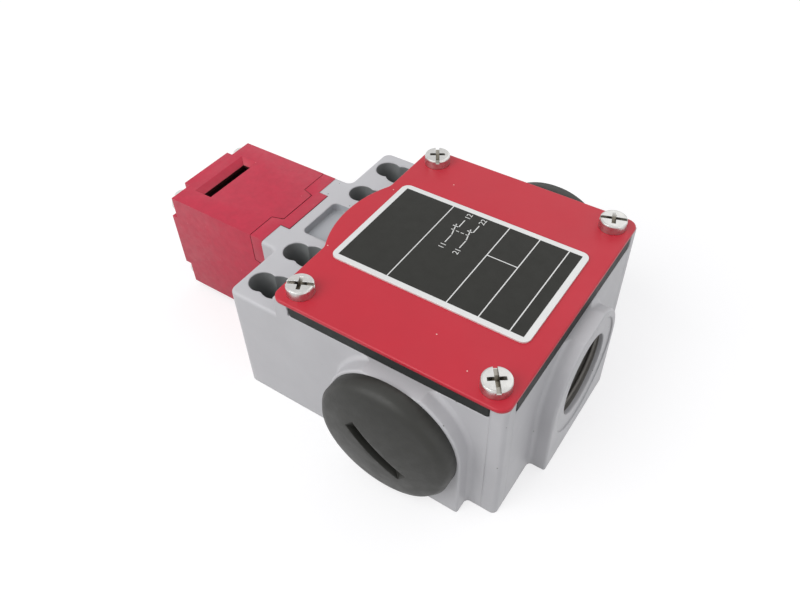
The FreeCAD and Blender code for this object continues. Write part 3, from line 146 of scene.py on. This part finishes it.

# ---- casing -------------------------------------------------------------------------------
# The casing is one soft-edged zinc casting, stove-painted light grey but for its bare thread.
# Painted shade darkens its chamber, its fixing openings and its pocket floor, and a painted
# highlight lightens its outer edges. Its tail corners are sharpened and its open entry is threaded.


class Finish:
    """A material under construction: its node tree, its main shader and its coordinates."""

    def __init__(self, name, color, roughness, metallic=0.0):
        self.material = bpy.data.materials.new(name)
        self.material.use_nodes = True
        self.tree = self.material.node_tree
        self.shader = self.tree.nodes["Principled BSDF"]
        self.shader.inputs["Base Color"].default_value = (*color, 1)
        self.shader.inputs["Roughness"].default_value = roughness
        self.shader.inputs["Metallic"].default_value = metallic
        self.place = self.tree.nodes.new("ShaderNodeTexCoord").outputs["Object"]
        self.color = color

    def node(self, kind, inputs=None, **settings):
        """A node with some of its inputs linked or set."""
        made = self.tree.nodes.new(kind)
        for setting, value in settings.items():
            setattr(made, setting, value)
        for socket, value in (inputs or {}).items():
            if isinstance(value, bpy.types.NodeSocket):
                self.tree.links.new(value, made.inputs[socket])
            else:
                made.inputs[socket].default_value = value
        return made

    def set(self, socket, value):
        """Link or set one input of the main shader."""
        if isinstance(value, bpy.types.NodeSocket):
            self.tree.links.new(value, self.shader.inputs[socket])
        else:
            self.shader.inputs[socket].default_value = value

    def noise(self, size, detail=2.0, roughness=0.5, stretch=(1, 1, 1)):
        """Cloudy noise whose lumps are about the given size in metres."""
        mapping = self.node("ShaderNodeMapping", {"Vector": self.place, "Scale": stretch})
        return self.node("ShaderNodeTexNoise", {
            "Vector": mapping.outputs[0], "Scale": 1 / size, "Detail": detail,
            "Roughness": roughness}).outputs["Fac"]

    def span(self, value, low, high, start=0.0, end=1.0):
        """The value stretched from one range to another."""
        return self.node("ShaderNodeMapRange", {
            "Value": value, "From Min": start, "From Max": end, "To Min": low,
            "To Max": high}).outputs[0]

    def blend(self, amount, first, second):
        """A mix of two colours."""
        mixed = self.node("ShaderNodeMix", {"Factor": amount}, data_type="RGBA")
        for socket, color in ((6, first), (7, second)):
            if isinstance(color, bpy.types.NodeSocket):
                self.tree.links.new(color, mixed.inputs[socket])
            else:
                mixed.inputs[socket].default_value = (*color, 1)
        return mixed.outputs[2]

    def soften(self, radius):
        """Edges rounded by the given radius, as a normal."""
        return self.node("ShaderNodeBevel", {"Radius": radius}, samples=6).outputs[0]

    def edges(self, radius):
        """1 along outer edges and 0 on flats."""
        surface = self.node("ShaderNodeNewGeometry").outputs["Normal"]
        both = self.node("ShaderNodeVectorMath", operation="DOT_PRODUCT")
        self.tree.links.new(self.soften(radius), both.inputs[0])
        self.tree.links.new(surface, both.inputs[1])
        return self.span(both.outputs["Value"], 0.0, 1.0, 0.995, 0.90)

    def creases(self, reach):
        """1 on open surfaces and less in grooves narrower than the given reach."""
        hidden = self.node("ShaderNodeAmbientOcclusion", {"Distance": reach}, samples=8)
        return self.span(hidden.outputs["AO"], 0.0, 1.0, 0.45, 0.85)

    def relief(self, height, depth, normal=None):
        """Bumps of the given depth in metres over a normal."""
        inputs = {"Height": height, "Distance": depth, "Strength": 1.0}
        if normal is not None:
            inputs["Normal"] = normal
        self.set("Normal", self.node("ShaderNodeBump", inputs).outputs[0])

    def math(self, operation, *values):
        """One step of arithmetic."""
        return self.node("ShaderNodeMath", dict(enumerate(values)), operation=operation).outputs[0]

    def axes(self):
        """The X, the distance from the middle plane, and the height of a point."""
        split = self.node("ShaderNodeSeparateXYZ", {"Vector": self.place}).outputs
        return split[0], self.math("ABSOLUTE", split[1]), split[2]

    def within(self, *spans):
        """1 where X, distance from the middle plane and height all lie in their spans, in mm."""
        mask = None
        for axis, (low, high) in zip(self.axes(), spans):
            near = self.math("COMPARE", axis, (low + high) / 2 * MM, (high - low) / 2 * MM)
            mask = near if mask is None else self.math("MULTIPLY", mask, near)
        return mask

    def specks(self, spacing, radius, share, dimensions="3D"):
        """1 in small dots, of which the given share is kept."""
        cells = self.node("ShaderNodeTexVoronoi", {"Vector": self.place, "Scale": 1 / spacing},
                          voronoi_dimensions=dimensions)
        lucky = self.math("LESS_THAN", self.node(
            "ShaderNodeSeparateColor", {"Color": cells.outputs["Color"]}).outputs[0], share)
        dots = self.math("LESS_THAN", cells.outputs["Distance"], radius / spacing)
        return self.math("MULTIPLY", lucky, dots)

    def mottle(self, size, spread, roughness_spread=0.0):
        """Uneven colour and roughness in lumps of the given size."""
        cloud = self.noise(size, 4.0, 0.6)
        darker = tuple(channel * (1 - spread) for channel in self.color)
        lighter = tuple(min(channel * (1 + spread), 1.0) for channel in self.color)
        shade = self.blend(self.span(cloud, 0.0, 1.0, 0.3, 0.7), darker, lighter)
        self.set("Base Color", shade)
        if roughness_spread:
            rough = self.shader.inputs["Roughness"].default_value
            self.set("Roughness", self.span(
                self.noise(size * 0.6, 4.0, 0.6), rough - roughness_spread,
                rough + roughness_spread, 0.3, 0.7))
        return shade


def dress(name, finish):
    """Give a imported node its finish."""
    mesh = nodes[name].data
    mesh.materials.clear()
    mesh.materials.append(finish.material)


PAINT_GREY = (0.55, 0.545, 0.56)
EDGE_HIGHLIGHT_GREY = (0.66, 0.655, 0.67)
SPECK_GREY = (0.20, 0.20, 0.19)
CHAMBER_SHADE = (0.085, 0.092, 0.086)
SLOT_SHADE_GREY = (0.25, 0.26, 0.26)
POCKET_SHADE_GREY = (0.44, 0.455, 0.475)
THREAD_GREY = (0.19, 0.18, 0.165)
THREAD_METAL = 0.3
FIXING_SLOTS = (-32.6, -20.4), (8.5, 28.3), (-1, 29.25)
POCKET = (-32.4, -18.0), (-1, 6.5), (27.2, 29.25)
CHAMBER = (-16.6, 30.6), (-1, 27.1), (2.9, 31.3)
ENTRY_HEIGHT, ENTRY_RADIUS, THREAD_PITCH, THREAD = 17.0, 9.6, 1.41, (30.4, 36.1)

cast_paint = Finish("cast_paint", PAINT_GREY, 0.42)
shade = cast_paint.mottle(0.012, 0.035, 0.05)
# A painted highlight lightens the casting's outer edges.
shade = cast_paint.blend(cast_paint.span(cast_paint.edges(0.0006), 0.0, 0.5), shade, EDGE_HIGHLIGHT_GREY)
shade = cast_paint.blend(cast_paint.specks(0.0036, 0.00016, 0.5), shade, SPECK_GREY)
# Painted shade darkens the walls of the deep fixing openings.
shade = cast_paint.blend(cast_paint.within(*FIXING_SLOTS), shade, SLOT_SHADE_GREY)
# Painted shade darkens the chamber seen through the open entry.
shade = cast_paint.blend(cast_paint.within(*CHAMBER), shade, CHAMBER_SHADE)
# Painted shade darkens the floor of the shallow pocket.
shade = cast_paint.blend(cast_paint.within(*POCKET), shade, POCKET_SHADE_GREY)
along, aside, height = cast_paint.axes()
rise = cast_paint.math("SUBTRACT", height, ENTRY_HEIGHT * MM)
outward = cast_paint.math("SQRT", cast_paint.math(
    "ADD", cast_paint.math("MULTIPLY", aside, aside), cast_paint.math("MULTIPLY", rise, rise)))
threaded = cast_paint.math(
    "MULTIPLY", cast_paint.math("LESS_THAN", outward, ENTRY_RADIUS * MM),
    cast_paint.math("COMPARE", along, sum(THREAD) / 2 * MM, (THREAD[1] - THREAD[0]) / 2 * MM))
shade = cast_paint.blend(threaded, shade, THREAD_GREY)
cast_paint.set("Base Color", shade)
cast_paint.set("Metallic", cast_paint.math("MULTIPLY", threaded, THREAD_METAL))
cast_paint.relief(cast_paint.noise(0.0011, 3.0), 0.00002, cast_paint.soften(0.0006))
dress("housing", cast_paint)

ENTRY_BORE, THREAD_RISE, THREAD_ROOT, THREAD_CREST, THREAD_STEPS = 9.35, 0.32, 0.6, 0.16, 48
THREAD_BURIED = 0.05


def entry_thread():
    """The ridge that winds round the inside of the open entry."""
    form = bmesh.new()
    turns = (THREAD[1] - THREAD[0] - 2 * THREAD_ROOT) / THREAD_PITCH
    foot, crest = ENTRY_BORE + THREAD_BURIED, ENTRY_BORE - THREAD_RISE
    section = ((foot, -THREAD_ROOT), (crest, -THREAD_CREST), (crest, THREAD_CREST),
               (foot, THREAD_ROOT))
    rings = []
    for step in range(int(turns * THREAD_STEPS) + 1):
        turn = 2 * math.pi * step / THREAD_STEPS
        middle = THREAD[0] + THREAD_ROOT + THREAD_PITCH * step / THREAD_STEPS
        rings.append([form.verts.new((
            (middle + shift) * MM, radius * math.cos(turn) * MM,
            (ENTRY_HEIGHT + radius * math.sin(turn)) * MM)) for radius, shift in section])
    for here, there in zip(rings, rings[1:]):
        for n in range(4):
            form.faces.new((here[n], here[(n + 1) % 4], there[(n + 1) % 4], there[n]))
    form.faces.new(rings[0])
    form.faces.new(rings[-1])
    bmesh.ops.recalc_face_normals(form, faces=form.faces)
    mesh = bpy.data.meshes.new("entry_thread")
    form.to_mesh(mesh)
    form.free()
    mesh.materials.append(cast_paint.material)
    piece = bpy.data.objects.new("entry_thread", mesh)
    scene.collection.objects.link(piece)
    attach(piece, "casing")


entry_thread()

CORNER_ARC, CORNER_EDGE, CORNER_REACH, CORNER_FLAT = 4.0, 1.2, 3.45, 2.8
TAIL_FACE, HALF_WIDTH, CORNER_TOP = 33.5, 30.0, 34.47
CORNER_STEPS, CORNER_BURIED, CORNER_TURNS = 8, 0.3, (8, 74)


def tail_corner(side):
    """The narrow upright edge that stands on the casting's rounded tail corner."""
    root = CORNER_ARC - math.sqrt(CORNER_ARC ** 2 - (CORNER_ARC - CORNER_REACH) ** 2)
    outline = [(CORNER_REACH, root), (CORNER_FLAT, 0)]
    for step in range(CORNER_STEPS + 1):
        turn = math.radians(90 * step / CORNER_STEPS)
        outline.append((CORNER_EDGE * (1 - math.sin(turn)), CORNER_EDGE * (1 - math.cos(turn))))
    outline += [(0, CORNER_FLAT), (root, CORNER_REACH)]
    inner = CORNER_ARC - CORNER_BURIED
    for step in range(CORNER_STEPS + 1):
        turn = math.radians(CORNER_TURNS[0] + CORNER_TURNS[1] * step / CORNER_STEPS)
        outline.append((CORNER_ARC - inner * math.cos(turn), CORNER_ARC - inner * math.sin(turn)))
    form = bmesh.new()
    floor = [form.verts.new(((TAIL_FACE - x) * MM, side * (HALF_WIDTH - y) * MM, 0))
             for x, y in outline]
    solid = bmesh.ops.extrude_face_region(form, geom=[form.faces.new(floor)])
    raised = [item for item in solid["geom"] if isinstance(item, bmesh.types.BMVert)]
    bmesh.ops.translate(form, verts=raised, vec=(0, 0, CORNER_TOP * MM))
    bmesh.ops.recalc_face_normals(form, faces=form.faces)
    name = "tail_corner_near" if side < 0 else "tail_corner_far"
    mesh = bpy.data.meshes.new(name)
    form.to_mesh(mesh)
    form.free()
    mesh.materials.append(cast_paint.material)
    piece = bpy.data.objects.new(name, mesh)
    scene.collection.objects.link(piece)
    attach(piece, "casing")


for side in (-1, 1):
    tail_corner(side)

# ---- earth terminal -----------------------------------------------------------------------
# The earth wire is clamped under a zinc-plated screw on a boss of the casing's floor.

ZINC = (0.72, 0.715, 0.70)
zinc_plate = Finish("zinc_plate", ZINC, 0.27, metallic=1.0)
zinc_plate.mottle(0.0024, 0.05, 0.05)
zinc_plate.relief(zinc_plate.noise(0.0012, 2.0), 0.000004, zinc_plate.soften(0.00012))
for name in ("earth_screw", "earth_clamp"):
    dress(name, zinc_plate)

# ---- contact block ------------------------------------------------------------------------
# A black moulded tray with a ribbed deck, screwed to the casing's floor. Inside it an
# off-white carrier slides with two brass bridges, each held by a spring.

BLOCK_BLACK = (0.045, 0.045, 0.047)
block_moulding = Finish("block_moulding", BLOCK_BLACK, 0.5)
block_moulding.mottle(0.004, 0.08, 0.06)
block_moulding.relief(block_moulding.noise(0.0005, 3.0), 0.000012, block_moulding.soften(0.0002))
for name in ("contact_base", "contact_cover"):
    dress(name, block_moulding)

CARRIER_WHITE = (0.74, 0.72, 0.66)
carrier_moulding = Finish("carrier_moulding", CARRIER_WHITE, 0.4)
carrier_moulding.set("Subsurface Weight", 0.08)
carrier_moulding.set("Subsurface Scale", 0.002)
carrier_moulding.mottle(0.003, 0.03, 0.05)
carrier_moulding.relief(carrier_moulding.noise(0.0006, 3.0), 0.000008,
                        carrier_moulding.soften(0.0002))
dress("contact_carrier", carrier_moulding)

BRASS = (0.70, 0.52, 0.23)
contact_brass = Finish("contact_brass", BRASS, 0.27, metallic=1.0)
contact_brass.mottle(0.002, 0.08, 0.07)
contact_brass.relief(contact_brass.noise(0.0008, 3.0, stretch=(1, 8, 1)), 0.000008,
                     contact_brass.soften(0.0001))
for name in ("bridge_1", "bridge_2", "terminal_11", "terminal_12", "terminal_21", "terminal_22"):
    dress(name, contact_brass)
for name in ("terminal_screws", "terminal_clamps", "block_screws"):
    dress(name, zinc_plate)

SPRING_GREY = (0.48, 0.48, 0.49)
spring_wire = Finish("spring_wire", SPRING_GREY, 0.3, metallic=1.0)
spring_wire.mottle(0.001, 0.1, 0.08)
spring_wire.relief(spring_wire.noise(0.0003, 2.0), 0.000005)
for name in ("bridge_springs", "carrier_spring", "plunger_spring"):
    dress(name, spring_wire)

# ---- plunger and seal ---------------------------------------------------------------------
# The plunger is turned steel. It runs through a moulded ring of rubber in the shoulder.

STEEL = (0.60, 0.60, 0.61)
turned_steel = Finish("turned_steel", STEEL, 0.22, metallic=1.0)
turned_steel.mottle(0.002, 0.05, 0.05)
turned_steel.relief(turned_steel.noise(0.0004, 2.0, stretch=(12, 1, 1)), 0.000006,
                    turned_steel.soften(0.00015))
for name in ("plunger", "cam_axle"):
    dress(name, turned_steel)

RUBBER_BLACK = (0.015, 0.017, 0.016)
rubber = Finish("rubber", RUBBER_BLACK, 0.62)
rubber.mottle(0.003, 0.15, 0.08)
rubber.set("Specular IOR Level", 0.32)
rubber.relief(rubber.noise(0.0005, 3.0), 0.00002, rubber.soften(0.0003))
for name in ("plunger_seal", "cover_gasket", "plug_seal_near", "plug_seal_far"):
    dress(name, rubber)

# ---- head ---------------------------------------------------------------------------------
# The head is moulded in satin red plastic in two pieces, a long shell over a short keyed
# base. Four long screws hold both to the neck. The rotor inside is a bare zinc casting.

HEAD_RED, HEAD_SPECK = (0.50, 0.017, 0.050), (0.66, 0.12, 0.15)
HEAD_ROUNDING, SHARP_ANGLE = 0.0003, 40
CREASE_SHADE_RED, CAVITY_SHADE_RED = (0.09, 0.006, 0.010), (0.035, 0.006, 0.006)
CAVITY = (-65.6, -38.0), (-1, 8.3), (7.4, 28.05)
head_moulding = Finish("head_moulding", HEAD_RED, 0.46)
shade = head_moulding.mottle(0.0022, 0.07, 0.06)
shade = head_moulding.blend(head_moulding.specks(0.0023, 0.00012, 0.4), shade, HEAD_SPECK)
# Painted shade darkens grooves and the seam between shell and base, found by ambient occlusion.
shade = head_moulding.blend(head_moulding.creases(0.0006), CREASE_SHADE_RED, shade)
# Painted shade darkens the moulding inside the key slot's cavity.
head_moulding.set("Base Color", head_moulding.blend(
    head_moulding.within(*CAVITY), shade, CAVITY_SHADE_RED))
head_moulding.relief(head_moulding.noise(0.0005, 3.0), 0.000014)


def rounded(node, body, radius, finish):
    """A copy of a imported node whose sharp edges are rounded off."""
    form = bmesh.new()
    form.from_mesh(nodes[node].data)
    bmesh.ops.remove_doubles(form, verts=form.verts, dist=1e-6)
    bmesh.ops.dissolve_limit(form, angle_limit=math.radians(0.5), verts=form.verts,
                             edges=form.edges)
    mesh = bpy.data.meshes.new(f"{node}_moulded")
    form.to_mesh(mesh)
    form.free()
    mesh.materials.clear()
    mesh.materials.append(finish.material)
    for face in mesh.polygons:
        face.use_smooth = True
        face.material_index = 0
    piece = bpy.data.objects.new(f"{node}_moulded", mesh)
    scene.collection.objects.link(piece)
    bevel = piece.modifiers.new("rounding", "BEVEL")
    bevel.width = radius
    bevel.segments = 2
    bevel.limit_method = "ANGLE"
    bevel.angle_limit = math.radians(SHARP_ANGLE)
    bevel.harden_normals = True
    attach(piece, body)
    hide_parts(node)
    return piece


for name in ("head_shell", "head_base"):
    rounded(name, "casing", HEAD_ROUNDING, head_moulding)
dress("head_screws", zinc_plate)

CAST_ZINC = (0.50, 0.50, 0.49)
bare_casting = Finish("bare_casting", CAST_ZINC, 0.45, metallic=1.0)
bare_casting.mottle(0.002, 0.1, 0.1)
bare_casting.relief(bare_casting.noise(0.0005, 4.0), 0.00002, bare_casting.soften(0.0003))
dress("cam_rotor", bare_casting)

# ---- cover --------------------------------------------------------------------------------
# The cover is blanked from sheet steel and stove-painted gloss red. It clamps the black
# rubber gasket on the casing's rim.

COVER_RED, COVER_SPECK = (0.53, 0.008, 0.027), (0.80, 0.55, 0.50)
cover_paint = Finish("cover_paint", COVER_RED, 0.40)
shade = cover_paint.mottle(0.015, 0.03, 0.05)
shade = cover_paint.blend(cover_paint.specks(0.011, 0.00014, 0.35, "2D"), shade, COVER_SPECK)
cover_paint.set("Base Color", shade)
cover_paint.relief(cover_paint.noise(0.0014, 3.0), 0.000016, cover_paint.soften(0.0002))
dress("cover", cover_paint)

# ---- cover screws -------------------------------------------------------------------------
# Four zinc-plated M3.5 cheese-head screws with a slot across the head and a tapered cross in
# its middle. Each stopped at its own angle when it was driven home.

HEAD_RADIUS, HEAD_RISE, HEAD_CHAMFER, SHANK_RADIUS, SHANK_LENGTH = 3.0, 2.38, 0.42, 1.74, 12.0
SLOT_WIDTH, SLOT_DEPTH, CROSS_REACH, CROSS_DEPTH = 0.85, 0.75, 2.05, 1.8
SCREW_STEPS, SCREW_EASING, SCREW_LIFT, CUTTER_RISE, CROSS_POINT = 48, 0.00006, 0.00002, 0.3, 0.3
SCREW_TURNS = ((0, 0), 25), ((1, 0), -54), ((0, 1), -58), ((1, 1), 19)
SCREW_ZINC, RECESS_SHADE_GREY = (0.58, 0.575, 0.56), (0.24, 0.22, 0.18)
screw_zinc = Finish("screw_zinc", SCREW_ZINC, 0.30, metallic=1.0)
shade = screw_zinc.mottle(0.0016, 0.08, 0.06)
along, aside, height = screw_zinc.axes()
outward = screw_zinc.math("SQRT", screw_zinc.math(
    "ADD", screw_zinc.math("MULTIPLY", along, along), screw_zinc.math("MULTIPLY", aside, aside)))
# Painted shade darkens the floor of each head's slot and cross.
recess_shade = screw_zinc.math(
    "MULTIPLY", screw_zinc.math("LESS_THAN", outward, (HEAD_RADIUS - 0.2) * MM),
    screw_zinc.span(height, 1.0, 0.0, (HEAD_RISE - 0.9) * MM, (HEAD_RISE - 0.12) * MM))
screw_zinc.set("Base Color", screw_zinc.blend(recess_shade, shade, RECESS_SHADE_GREY))
screw_zinc.relief(screw_zinc.noise(0.0014, 1.5), 0.000004, screw_zinc.soften(0.00012))


def lathe(name, profile, steps):
    """A closed solid turned about Z from (radius, height) pairs in mm, axis to axis."""
    form = bmesh.new()
    rings = []
    for radius, height in profile:
        if radius == 0:
            rings.append([form.verts.new((0, 0, height * MM))])
            continue
        rings.append([form.verts.new((radius * MM * math.cos(2 * math.pi * n / steps),
                                      radius * MM * math.sin(2 * math.pi * n / steps),
                                      height * MM)) for n in range(steps)])
    for low, high in zip(rings, rings[1:]):
        for n in range(steps):
            near, far = n, (n + 1) % steps
            if len(low) == 1:
                form.faces.new((low[0], high[far], high[near]))
            elif len(high) == 1:
                form.faces.new((low[near], low[far], high[0]))
            else:
                form.faces.new((low[near], low[far], high[far], high[near]))
    bmesh.ops.recalc_face_normals(form, faces=form.faces)
    mesh = bpy.data.meshes.new(name)
    form.to_mesh(mesh)
    form.free()
    return mesh


def recess():
    """The cutter for a head's slot and its tapered cross."""
    form = bmesh.new()
    top = (HEAD_RISE + CUTTER_RISE) * MM

    def bar(reach, width, depth, turn, point):
        """One bar of the cutter, drawn in towards its foot by the given share."""
        corners = []
        for height, share in (((HEAD_RISE - depth) * MM, point), (top, 1.0)):
            for along, across in ((-1, -1), (1, -1), (1, 1), (-1, 1)):
                x, y = along * reach * share * MM, across * width / 2 * MM
                corners.append(form.verts.new((x * math.cos(turn) - y * math.sin(turn),
                                               x * math.sin(turn) + y * math.cos(turn),
                                               height)))
        for face in ((3, 2, 1, 0), (4, 5, 6, 7), (0, 1, 5, 4), (1, 2, 6, 5), (2, 3, 7, 6),
                     (3, 0, 4, 7)):
            form.faces.new([corners[n] for n in face])

    bar(HEAD_RADIUS + 1, SLOT_WIDTH, SLOT_DEPTH, 0.0, 1.0)
    bar(CROSS_REACH, SLOT_WIDTH, CROSS_DEPTH, 0.0, CROSS_POINT)
    bar(CROSS_REACH, SLOT_WIDTH, CROSS_DEPTH, math.pi / 2, CROSS_POINT)
    mesh = bpy.data.meshes.new("recess")
    form.to_mesh(mesh)
    form.free()
    return mesh


cutter = bpy.data.objects.new("recess", recess())
scene.collection.objects.link(cutter)
blank = bpy.data.objects.new("screw_blank", lathe("screw_blank", (
    (0, -SHANK_LENGTH), (SHANK_RADIUS, -SHANK_LENGTH), (SHANK_RADIUS, 0), (HEAD_RADIUS, 0),
    (HEAD_RADIUS, HEAD_RISE - HEAD_CHAMFER), (HEAD_RADIUS - 0.12, HEAD_RISE - 0.14),
    (HEAD_RADIUS - HEAD_CHAMFER, HEAD_RISE - 0.03), (0, HEAD_RISE)), SCREW_STEPS))
scene.collection.objects.link(blank)
cutting = blank.modifiers.new("recess", "BOOLEAN")
cutting.operation = "DIFFERENCE"
cutting.solver = "EXACT"
cutting.use_self = True
cutting.object = cutter
easing = blank.modifiers.new("easing", "BEVEL")
easing.width = SCREW_EASING
easing.segments = 1
easing.limit_method = "ANGLE"
easing.angle_limit = math.radians(50)
bpy.context.view_layer.update()
screw_mesh = bpy.data.meshes.new_from_object(
    blank.evaluated_get(bpy.context.evaluated_depsgraph_get()))
for spare in (blank, cutter):
    bpy.data.objects.remove(spare)
screw_mesh.materials.clear()
screw_mesh.materials.append(screw_zinc.material)
for face in screw_mesh.polygons:
    face.use_smooth = True
    face.material_index = 0
screw_mesh.set_sharp_from_angle(angle=math.radians(12))
screw_low, screw_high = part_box("cover_screws")
cover_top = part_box("cover")[1][2]
screws = []
for (x, y), turn in SCREW_TURNS:
    screw = bpy.data.objects.new(f"cover_screw_{len(screws) + 1}", screw_mesh)
    inset = HEAD_RADIUS * MM
    screw.location = (
        screw_high[0] - inset if x else screw_low[0] + inset,
        screw_high[1] - inset if y else screw_low[1] + inset, cover_top + SCREW_LIFT)
    screw.rotation_euler.z = math.radians(turn)
    scene.collection.objects.link(screw)
    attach(screw, "casing")
    screws.append(screw)
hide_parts("cover_screws")

# ---- rating plate -------------------------------------------------------------------------
# A thin anodised plate glued to the cover, with a bare border round a black printed field.
# The field's cells are blank but for the two break contacts with their terminals' numbers.

PLATE_SILVER = (0.74, 0.74, 0.73)
PRINT_BLACK = (0.018, 0.018, 0.015)
PRINT_WHITE = (0.72, 0.72, 0.70)
FIELD = (-15.84, 27.79), (-13.25, 13.25)
DIVIDERS, SHORT_DIVIDER, DIVIDER_WIDTH = (-3.4, 10.75, 18.0, 24.8), 3.05, 0.26
INK_DEPTH, FIELD_LEVEL, MARK_LEVEL = 0.00001, 0.00001, 0.00003
CONTACT_PLACES, STROKE_WIDTH, DASH_WIDTH, DASH_LEVEL = (1.2, 4.8), 0.24, 0.18, 6.3
FIGURE_SIZE, FIGURE_DEPTH, FIGURE_ROWS = 1.9, 0.000004, (-0.3, 10.9)

plate_alloy = Finish("plate_alloy", PLATE_SILVER, 0.38, metallic=0.25)
plate_alloy.mottle(0.004, 0.025, 0.04)
plate_alloy.relief(plate_alloy.noise(0.0006, 2.0), 0.000003, plate_alloy.soften(0.00012))
dress("rating_plate", plate_alloy)
print_black = Finish("print_black", PRINT_BLACK, 0.55)
print_black.set("Specular IOR Level", 0.28)
print_black.mottle(0.005, 0.06, 0.06)
print_black.relief(print_black.noise(0.0007, 2.0), 0.000003)
print_white = Finish("print_white", PRINT_WHITE, 0.5)
print_white.mottle(0.0015, 0.06, 0.05)

plate_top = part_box("rating_plate")[1][2]


def ink(name, shapes, level, finish):
    """Flat printed shapes on the plate, each a ring of (x, y) corners in mm."""
    form = bmesh.new()
    for corners in shapes:
        form.faces.new([form.verts.new((x * MM, y * MM, 0)) for x, y in corners])
    bmesh.ops.recalc_face_normals(form, faces=form.faces)
    for face in form.faces:
        if face.normal.z < 0:
            face.normal_flip()
    skin = bmesh.ops.extrude_face_region(form, geom=form.faces[:])
    raised = [item for item in skin["geom"] if isinstance(item, bmesh.types.BMVert)]
    bmesh.ops.translate(form, verts=raised, vec=(0, 0, INK_DEPTH))
    mesh = bpy.data.meshes.new(name)
    form.to_mesh(mesh)
    form.free()
    mesh.materials.append(finish.material)
    piece = bpy.data.objects.new(name, mesh)
    piece.location.z = plate_top + level
    scene.collection.objects.link(piece)
    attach(piece, "casing")
    return piece


def block(x, y):
    """The corners of a rectangle between two ends on each axis."""
    return [(x[0], y[0]), (x[1], y[0]), (x[1], y[1]), (x[0], y[1])]


(start, end), (near, far) = FIELD
edge = DIVIDER_WIDTH / 2
cells = []
for low, high in zip((start, *DIVIDERS), (*DIVIDERS, end)):
    x = (low + (edge if low != start else 0), high - (edge if high != end else 0))
    if low == DIVIDERS[1]:
        cells.append(block(x, (near, SHORT_DIVIDER - edge)))
        cells.append(block(x, (SHORT_DIVIDER + edge, far)))
    else:
        cells.append(block(x, (near, far)))
ink("plate_field", cells, FIELD_LEVEL, print_black)


def stroke(start, end, width=STROKE_WIDTH):
    """A straight printed line."""
    along = (Vector(end) - Vector(start)).normalized() * width / 2
    aside = Vector((-along.y, along.x))
    return [tuple(Vector(end) + along + aside), tuple(Vector(start) - along + aside),
            tuple(Vector(start) - along - aside), tuple(Vector(end) + along - aside)]


lines = []
for x in CONTACT_PLACES:
    lines += [stroke((x, 2.0), (x, 4.6)), stroke((x, 4.6), (x - 0.9, 8.2)),
              stroke((x, 7.6), (x, 10.2)), stroke((x, 7.6), (x - 1.3, 7.6))]
for step in range(4):
    lines.append(stroke((0.2 + 1.2 * step, DASH_LEVEL), (0.8 + 1.2 * step, DASH_LEVEL), DASH_WIDTH))
ink("contact_diagram", lines, MARK_LEVEL, print_white)
for number, x, y in (("11", 1.9, FIGURE_ROWS[0]), ("12", 1.9, FIGURE_ROWS[1]),
                     ("21", 5.5, FIGURE_ROWS[0]), ("22", 5.5, FIGURE_ROWS[1])):
    figure = bpy.data.curves.new(f"terminal_number_{number}", "FONT")
    figure.body = number
    figure.size = FIGURE_SIZE * MM
    figure.extrude = FIGURE_DEPTH
    label = bpy.data.objects.new(f"terminal_number_{number}", figure)
    label.data.materials.append(print_white.material)
    label.location = (x * MM, y * MM, plate_top + MARK_LEVEL)
    label.rotation_euler.z = math.radians(90)
    scene.collection.objects.link(label)
    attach(label, "casing")

# ---- blanking plugs -----------------------------------------------------------------------
# Two moulded plugs close the side entries. Each has a flange with a domed face and a slot
# for a coin.

PLUG_BLACK, PLUG_ROUNDING = (0.016, 0.016, 0.013), 0.00035
plug_moulding = Finish("plug_moulding", PLUG_BLACK, 0.5)
plug_moulding.mottle(0.005, 0.12, 0.06)
plug_moulding.relief(plug_moulding.noise(0.0006, 3.0), 0.000016)
for name in ("plug_near", "plug_far"):
    rounded(name, "casing", PLUG_ROUNDING, plug_moulding)
